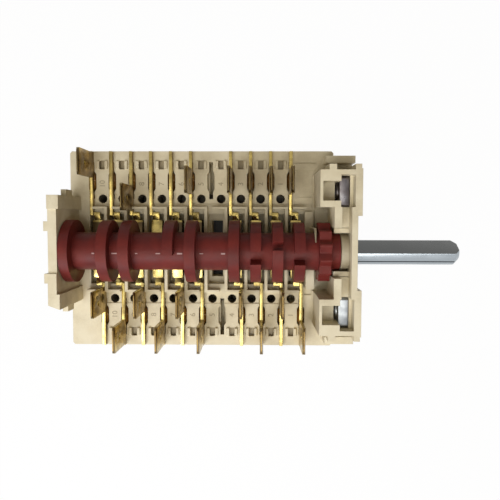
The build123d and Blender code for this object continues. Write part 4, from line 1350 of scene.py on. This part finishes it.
@dataclass
class RibDetails:
    """Raised nibs beside each nib pocket and the chamber numbers moulded on the ribs."""

    chambers: Chambers = Chambers()
    rib_shift: float = 1.12
    floor_z: float = -8.9
    pocket_half: float = 0.65
    nib_inner_y: float = 20.15
    nib_outer_y: float = 22.2
    nib_width: float = 0.8
    nib_height: float = 0.6
    nib_edge: float = 0.18
    figure_y: Point = (16.42, -16.85)
    figure_size: float = 1.9
    figure_height: float = 0.04

    def nib_tree(self) -> NodeTree:
        """Geometry nodes of one row of nibs, two beside each pocket.

        Returns:
            The node tree, whose inputs are the sizes in metres.
        """
        sheet = PieceSheet("rib_nibs", {
            "Size": (0.001, 0.001, 0.001), "Start": (0.0, 0.0, 0.0), "Pitch": 0.005, "Spread": 0.001,
            "Count": 10})
        nib = sheet.add("GeometryNodeMeshCube", {"Size": sheet.given["Size"]})
        pair = []
        for spread in (sheet.given["Spread"], sheet.scalar("MULTIPLY", sheet.given["Spread"], -1.0)):
            aside = sheet.add("ShaderNodeCombineXYZ", {"X": spread})
            pair.append(sheet.add("GeometryNodeTransform", {"Geometry": nib, "Translation": aside}))
        return sheet.put_out(sheet.row(sheet.add("GeometryNodeJoinGeometry", {"Geometry": pair})))

    def _first_rib_x(self, side: int) -> float:
        """X of the first rib of a row, whose ribs stand between its blades."""
        first = self.chambers.first_x + side * self.rib_shift
        return first + (0.0 if side > 0 else self.chambers.pitch)

    def _nibs(self, shop: Workshop) -> None:
        """Builds both rows of nibs.

        Args:
            shop: The workshop.
        """
        tree = self.nib_tree()
        width = self.nib_outer_y - self.nib_inner_y
        middle = (self.nib_outer_y + self.nib_inner_y) / 2
        for name, side in (("upper_nibs", 1), ("lower_nibs", -1)):
            row = shop.blank(name)
            run_nodes(row, tree, {
                "Size": metres(self.nib_width, width, 2 * self.nib_height),
                "Start": metres(self._first_rib_x(side), side * middle, self.floor_z),
                "Pitch": self.chambers.pitch * MM,
                "Spread": (self.pocket_half + self.nib_width / 2) * MM,
                "Count": self.chambers.count - 1,
                "Material": shop.finishes.materials[Slot.CREAM],
            })
            shop.soften(row, self.nib_edge)
            shop.finish(row, Body.HOUSING, Slot.CREAM)

    def _figure(self, shop: Workshop, value: int, x: float, y: float) -> None:
        """Builds one chamber number that reads from the front end of the switch.

        Args:
            shop: The workshop.
            value: The number.
            x: Place along X in millimetres.
            y: Place along Y in millimetres.
        """
        letters = bpy.data.curves.new(f"chamber_figure_{value}", "FONT")
        letters.body = str(value)
        letters.size = self.figure_size * MM
        letters.extrude = self.figure_height * MM
        letters.align_x = "CENTER"
        letters.align_y = "CENTER"
        made = bpy.data.objects.new(letters.name, letters)
        bpy.context.scene.collection.objects.link(made)
        evaluated = made.evaluated_get(bpy.context.evaluated_depsgraph_get())
        mesh = bpy.data.meshes.new_from_object(evaluated)
        mesh.transform(Matrix.Translation(Vector((x, y, self.floor_z)) * MM)
                       @ Matrix.Rotation(QUARTER, 4, "Z"))
        bpy.data.objects.remove(made)
        side = "upper" if y > 0 else "lower"
        figure = shop.piece(f"{side}_figure_{value:02d}", mesh)
        shop.finish(figure, Body.HOUSING, Slot.CREAM, look=shop.finishes.figures)

    def build(self, shop: Workshop) -> None:
        """Builds the nibs and the numbers of both rows.

        Args:
            shop: The workshop.
        """
        self._nibs(shop)
        for y, side in zip(self.figure_y, (1, -1)):
            for k in range(self.chambers.count - 1):
                x = self._first_rib_x(side) + k * self.chambers.pitch
                self._figure(shop, self.chambers.count - 1 - k, x, y)


@dataclass
class Mouldings:
    """Base, back cover and front bracket of the housing."""

    boss_bore: float = 3.1
    boss_radius: float = 4.3
    boss_span: Point = (-4.13, -2.25)
    boss_edge: float = 0.12
    boss_sides: int = 48

    def _shaft_boss(self, shop: Workshop) -> None:
        """Puts the bracket's round boss on the shaft, between the drum's journal and the middle wall.

        Args:
            shop: The workshop.
        """
        rear, front = self.boss_span
        corners = ((rear, self.boss_bore), (rear, self.boss_radius),
                   (front, self.boss_radius), (front, self.boss_bore))
        sheet = bmesh.new()
        rings = []
        for x, radius in corners:
            turns = [math.tau * side / self.boss_sides for side in range(self.boss_sides)]
            rings.append([sheet.verts.new(Vector((x, radius * math.cos(turn), radius * math.sin(turn))) * MM)
                          for turn in turns])
        for ring, following in zip(rings, rings[1:] + rings[:1]):
            for side in range(self.boss_sides):
                after = (side + 1) % self.boss_sides
                sheet.faces.new((ring[side], ring[after], following[after], following[side]))
        boss = shop.piece("bracket_shaft_boss", closed_mesh("bracket_shaft_boss", sheet))
        shop.soften(boss, self.boss_edge)
        shop.finish(boss, Body.HOUSING, Slot.CREAM)

    def build(self, shop: Workshop) -> None:
        """Dresses the housing's mouldings.

        Args:
            shop: The workshop.
        """
        shop.finishes.dress_solid("base_housing", Slot.CREAM)
        shop.finishes.dress_solid("back_cover", Slot.COVER)
        shop.finishes.dress_solid("front_bracket", Slot.CREAM)
        self._shaft_boss(shop)


@dataclass
class Fixings:
    """Shaft, fixing nuts with their threads, and the bracket's screws."""

    nut_y: float = 14.0
    nut_x: Point = (-5.2, -2.4)
    thread_radius: float = 1.62
    thread_pitch: float = 0.7
    thread_depth: float = 0.14
    shaft_edge: float = 0.1
    nut_edge: float = 0.12
    fresh_nut: str = "lower_fixing_nut"

    def build(self, shop: Workshop, coil: NodeTree) -> None:
        """Builds and dresses the metal fixings.

        Args:
            shop: The workshop.
            coil: Node tree of a coil, for the threads.
        """
        shaft = shop.rounded_copy("operating_shaft", self.shaft_edge)
        shop.finish(shaft, Body.DRUM, Slot.SHAFT, "operating_shaft")
        length = self.nut_x[1] - self.nut_x[0]
        for name, side in (("upper_fixing_nut", 1), ("lower_fixing_nut", -1)):
            nut = shop.rounded_copy(name, self.nut_edge)
            # The lower nut gets the lighter zinc copy as painted light.
            look = shop.finishes.fresh_zinc if name == self.fresh_nut else None
            shop.finish(nut, Body.HOUSING, Slot.ZINC, name, look=look)
            thread = Coil(
                radius=self.thread_radius, wire_radius=self.thread_depth, turns=length / self.thread_pitch,
                length=length, centre=(self.nut_x[0], side * self.nut_y, 0.0), along_x=True, sides=4)
            crests = thread.build(f"{name}_thread", coil, shop.finishes.materials[Slot.ZINC])
            shop.finish(crests, Body.HOUSING, Slot.ZINC)
        shop.finishes.dress_solid("bracket_screws", Slot.ZINC)


@dataclass
class Detent:
    """Plunger and coil spring under the star wheel."""

    spring_radius: float = 1.15
    wire_radius: float = 0.2
    turns: float = 4.0
    joint: str = "plunger_slide"

    def build(self, shop: Workshop, coil: NodeTree) -> None:
        """Builds the spring between its two seats and dresses the plunger.

        Args:
            shop: The workshop.
            coil: Node tree of a coil.
        """
        shop.finishes.dress_solid("detent_plunger", Slot.PLUNGER)
        low, high = (Vector(corner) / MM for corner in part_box("detent_spring"))
        middle = (low + high) / 2
        spring = Coil(
            radius=self.spring_radius, wire_radius=self.wire_radius, turns=self.turns,
            length=high.z - low.z - 2 * self.wire_radius,
            centre=(middle.x, middle.y, low.z + self.wire_radius))
        wire = spring.build("detent_spring_wire", coil, shop.finishes.materials[Slot.SPRING])
        shop.finish(wire, Body.HOUSING, Slot.SPRING, "detent_spring")
        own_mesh(wire)


@dataclass(frozen=True)
class Lamp:
    """A square soft light: place and side in millimetres, power in watts."""

    name: str
    place: Place
    size: float
    power: float
    tint: Place = (1.0, 1.0, 1.0)


@dataclass
class Studio:
    """Pale floor, soft lights and the camera of the photograph."""

    floor_size: float = 3000.0
    floor_gap: float = 0.2
    floor_paper: Colour = (0.85, 0.85, 0.85, 1.0)
    floor_glow: float = 0.97
    room_level: float = 0.14
    room_tone: Colour = (1.0, 0.8, 0.44, 1.0)
    lit_place: Place = (-30.0, 0.0, 0.0)
    lamps: tuple[Lamp, ...] = (
        Lamp("window_light", (-85.0, -115.0, 270.0), 250.0, 0.56, (1.0, 0.965, 0.86)),
        Lamp("table_light", (-105.0, -120.0, 105.0), 90.0, 0.13, (0.97, 1.0, 1.12)),
        Lamp("front_light", (50.0, -70.0, 260.0), 90.0, 0.08),
    )
    camera_place: Place = (-23.1, 7.84, 127.84)
    camera_tilt: Place = (3.37, -0.94, -0.11)
    sensor_width: float = 36.0
    lens_share: float = 1.08
    clip_start: float = 10.0

    def floor(self) -> None:
        """Lays a pale floor under the switch that keeps a faint shadow."""
        half, level = self.floor_size * MM / 2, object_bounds()[0][2] - self.floor_gap * MM
        mesh = bpy.data.meshes.new("studio_floor")
        corners = [(-half, -half, level), (half, -half, level), (half, half, level), (-half, half, level)]
        mesh.from_pydata(corners, [], [(0, 1, 2, 3)])
        floor = Workshop.piece("studio_floor", mesh)
        material = bpy.data.materials.new("pale_floor")
        material.use_nodes = True
        sheet = NodeSheet(material.node_tree)
        rays = sheet.add("ShaderNodeLightPath").outputs
        seen = sheet.scalar("MAXIMUM", rays["Is Camera Ray"], rays["Is Glossy Ray"])
        paper = sheet.add("ShaderNodeBsdfDiffuse", {"Color": self.floor_paper})
        glow = sheet.add("ShaderNodeEmission")
        share = sheet.scalar("MULTIPLY", seen, self.floor_glow)
        mix = sheet.add("ShaderNodeMixShader", {"Fac": share, 1: paper, 2: glow})
        sheet.add("ShaderNodeOutputMaterial", {"Surface": mix})
        mesh.materials.append(material)
        floor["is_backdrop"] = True

    def surroundings(self) -> None:
        """A white room for what is seen and mirrored, and a dim one for its light."""
        world = bpy.data.worlds.new("studio_room")
        bpy.context.scene.world = world
        world.use_nodes = True
        sheet = NodeSheet(world.node_tree)
        rays = sheet.add("ShaderNodeLightPath").outputs
        seen = sheet.scalar("MAXIMUM", rays["Is Camera Ray"], rays["Is Transmission Ray"])
        mirrored = sheet.scalar("MAXIMUM", seen, rays["Is Glossy Ray"])
        room = sheet.add("ShaderNodeBackground", {
            "Strength": sheet.between(mirrored, self.room_level, 1.0),
            "Color": sheet.blend(mirrored, self.room_tone, (1.0, 1.0, 1.0, 1.0)),
        })
        sheet.add("ShaderNodeOutputWorld", {"Surface": room})

    def hang(self, lamp: Lamp) -> None:
        """Hangs a lamp so that it points at the middle of the switch.

        Args:
            lamp: The lamp.
        """
        light = bpy.data.lights.new(lamp.name, "AREA")
        light.color = lamp.tint
        light.size = lamp.size * MM
        light.energy = lamp.power
        hung = bpy.data.objects.new(lamp.name, light)
        bpy.context.scene.collection.objects.link(hung)
        target, start = Vector(self.lit_place), Vector(lamp.place)
        hung.location = start * MM
        hung.rotation_euler = (target - start).to_track_quat("-Z", "Y").to_euler()

    def camera(self) -> None:
        """Sets the camera where the photograph was taken from."""
        x_turn, y_turn, z_turn = (math.radians(value) for value in self.camera_tilt)
        into_camera = (Matrix.Rotation(z_turn, 3, "Z") @ Matrix.Rotation(x_turn, 3, "X")
                       @ Matrix.Rotation(y_turn, 3, "Y"))
        eye = bpy.data.cameras.new("photo_camera")
        eye.sensor_fit = "HORIZONTAL"
        eye.sensor_width = self.sensor_width
        eye.lens = eye.sensor_width * self.lens_share
        eye.clip_start = self.clip_start * MM
        camera = bpy.data.objects.new("photo_camera", eye)
        bpy.context.scene.collection.objects.link(camera)
        place = Matrix.Translation(Vector(self.camera_place) * MM)
        camera.matrix_world = place @ into_camera.transposed().to_4x4()
        bpy.context.scene.camera = camera

    def build(self) -> None:
        """Builds floor, room, lights and camera."""
        bpy.context.scene.view_settings.view_transform = "Standard"
        self.floor()
        self.surroundings()
        for lamp in self.lamps:
            self.hang(lamp)
        self.camera()


def main() -> None:
    """Builds every sub-assembly and then the studio."""
    logging.basicConfig(level=logging.INFO, format="%(name)s: %(message)s")
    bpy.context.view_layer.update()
    shop = Workshop(Finishes())
    coil = Coil.tree()
    Mouldings().build(shop)
    CamDrum().build(shop)
    Contacts().build(shop)
    RibDetails().build(shop)
    Fixings().build(shop, coil)
    Detent().build(shop, coil)
    Studio().build()


if __name__ == "__main__":
    main()
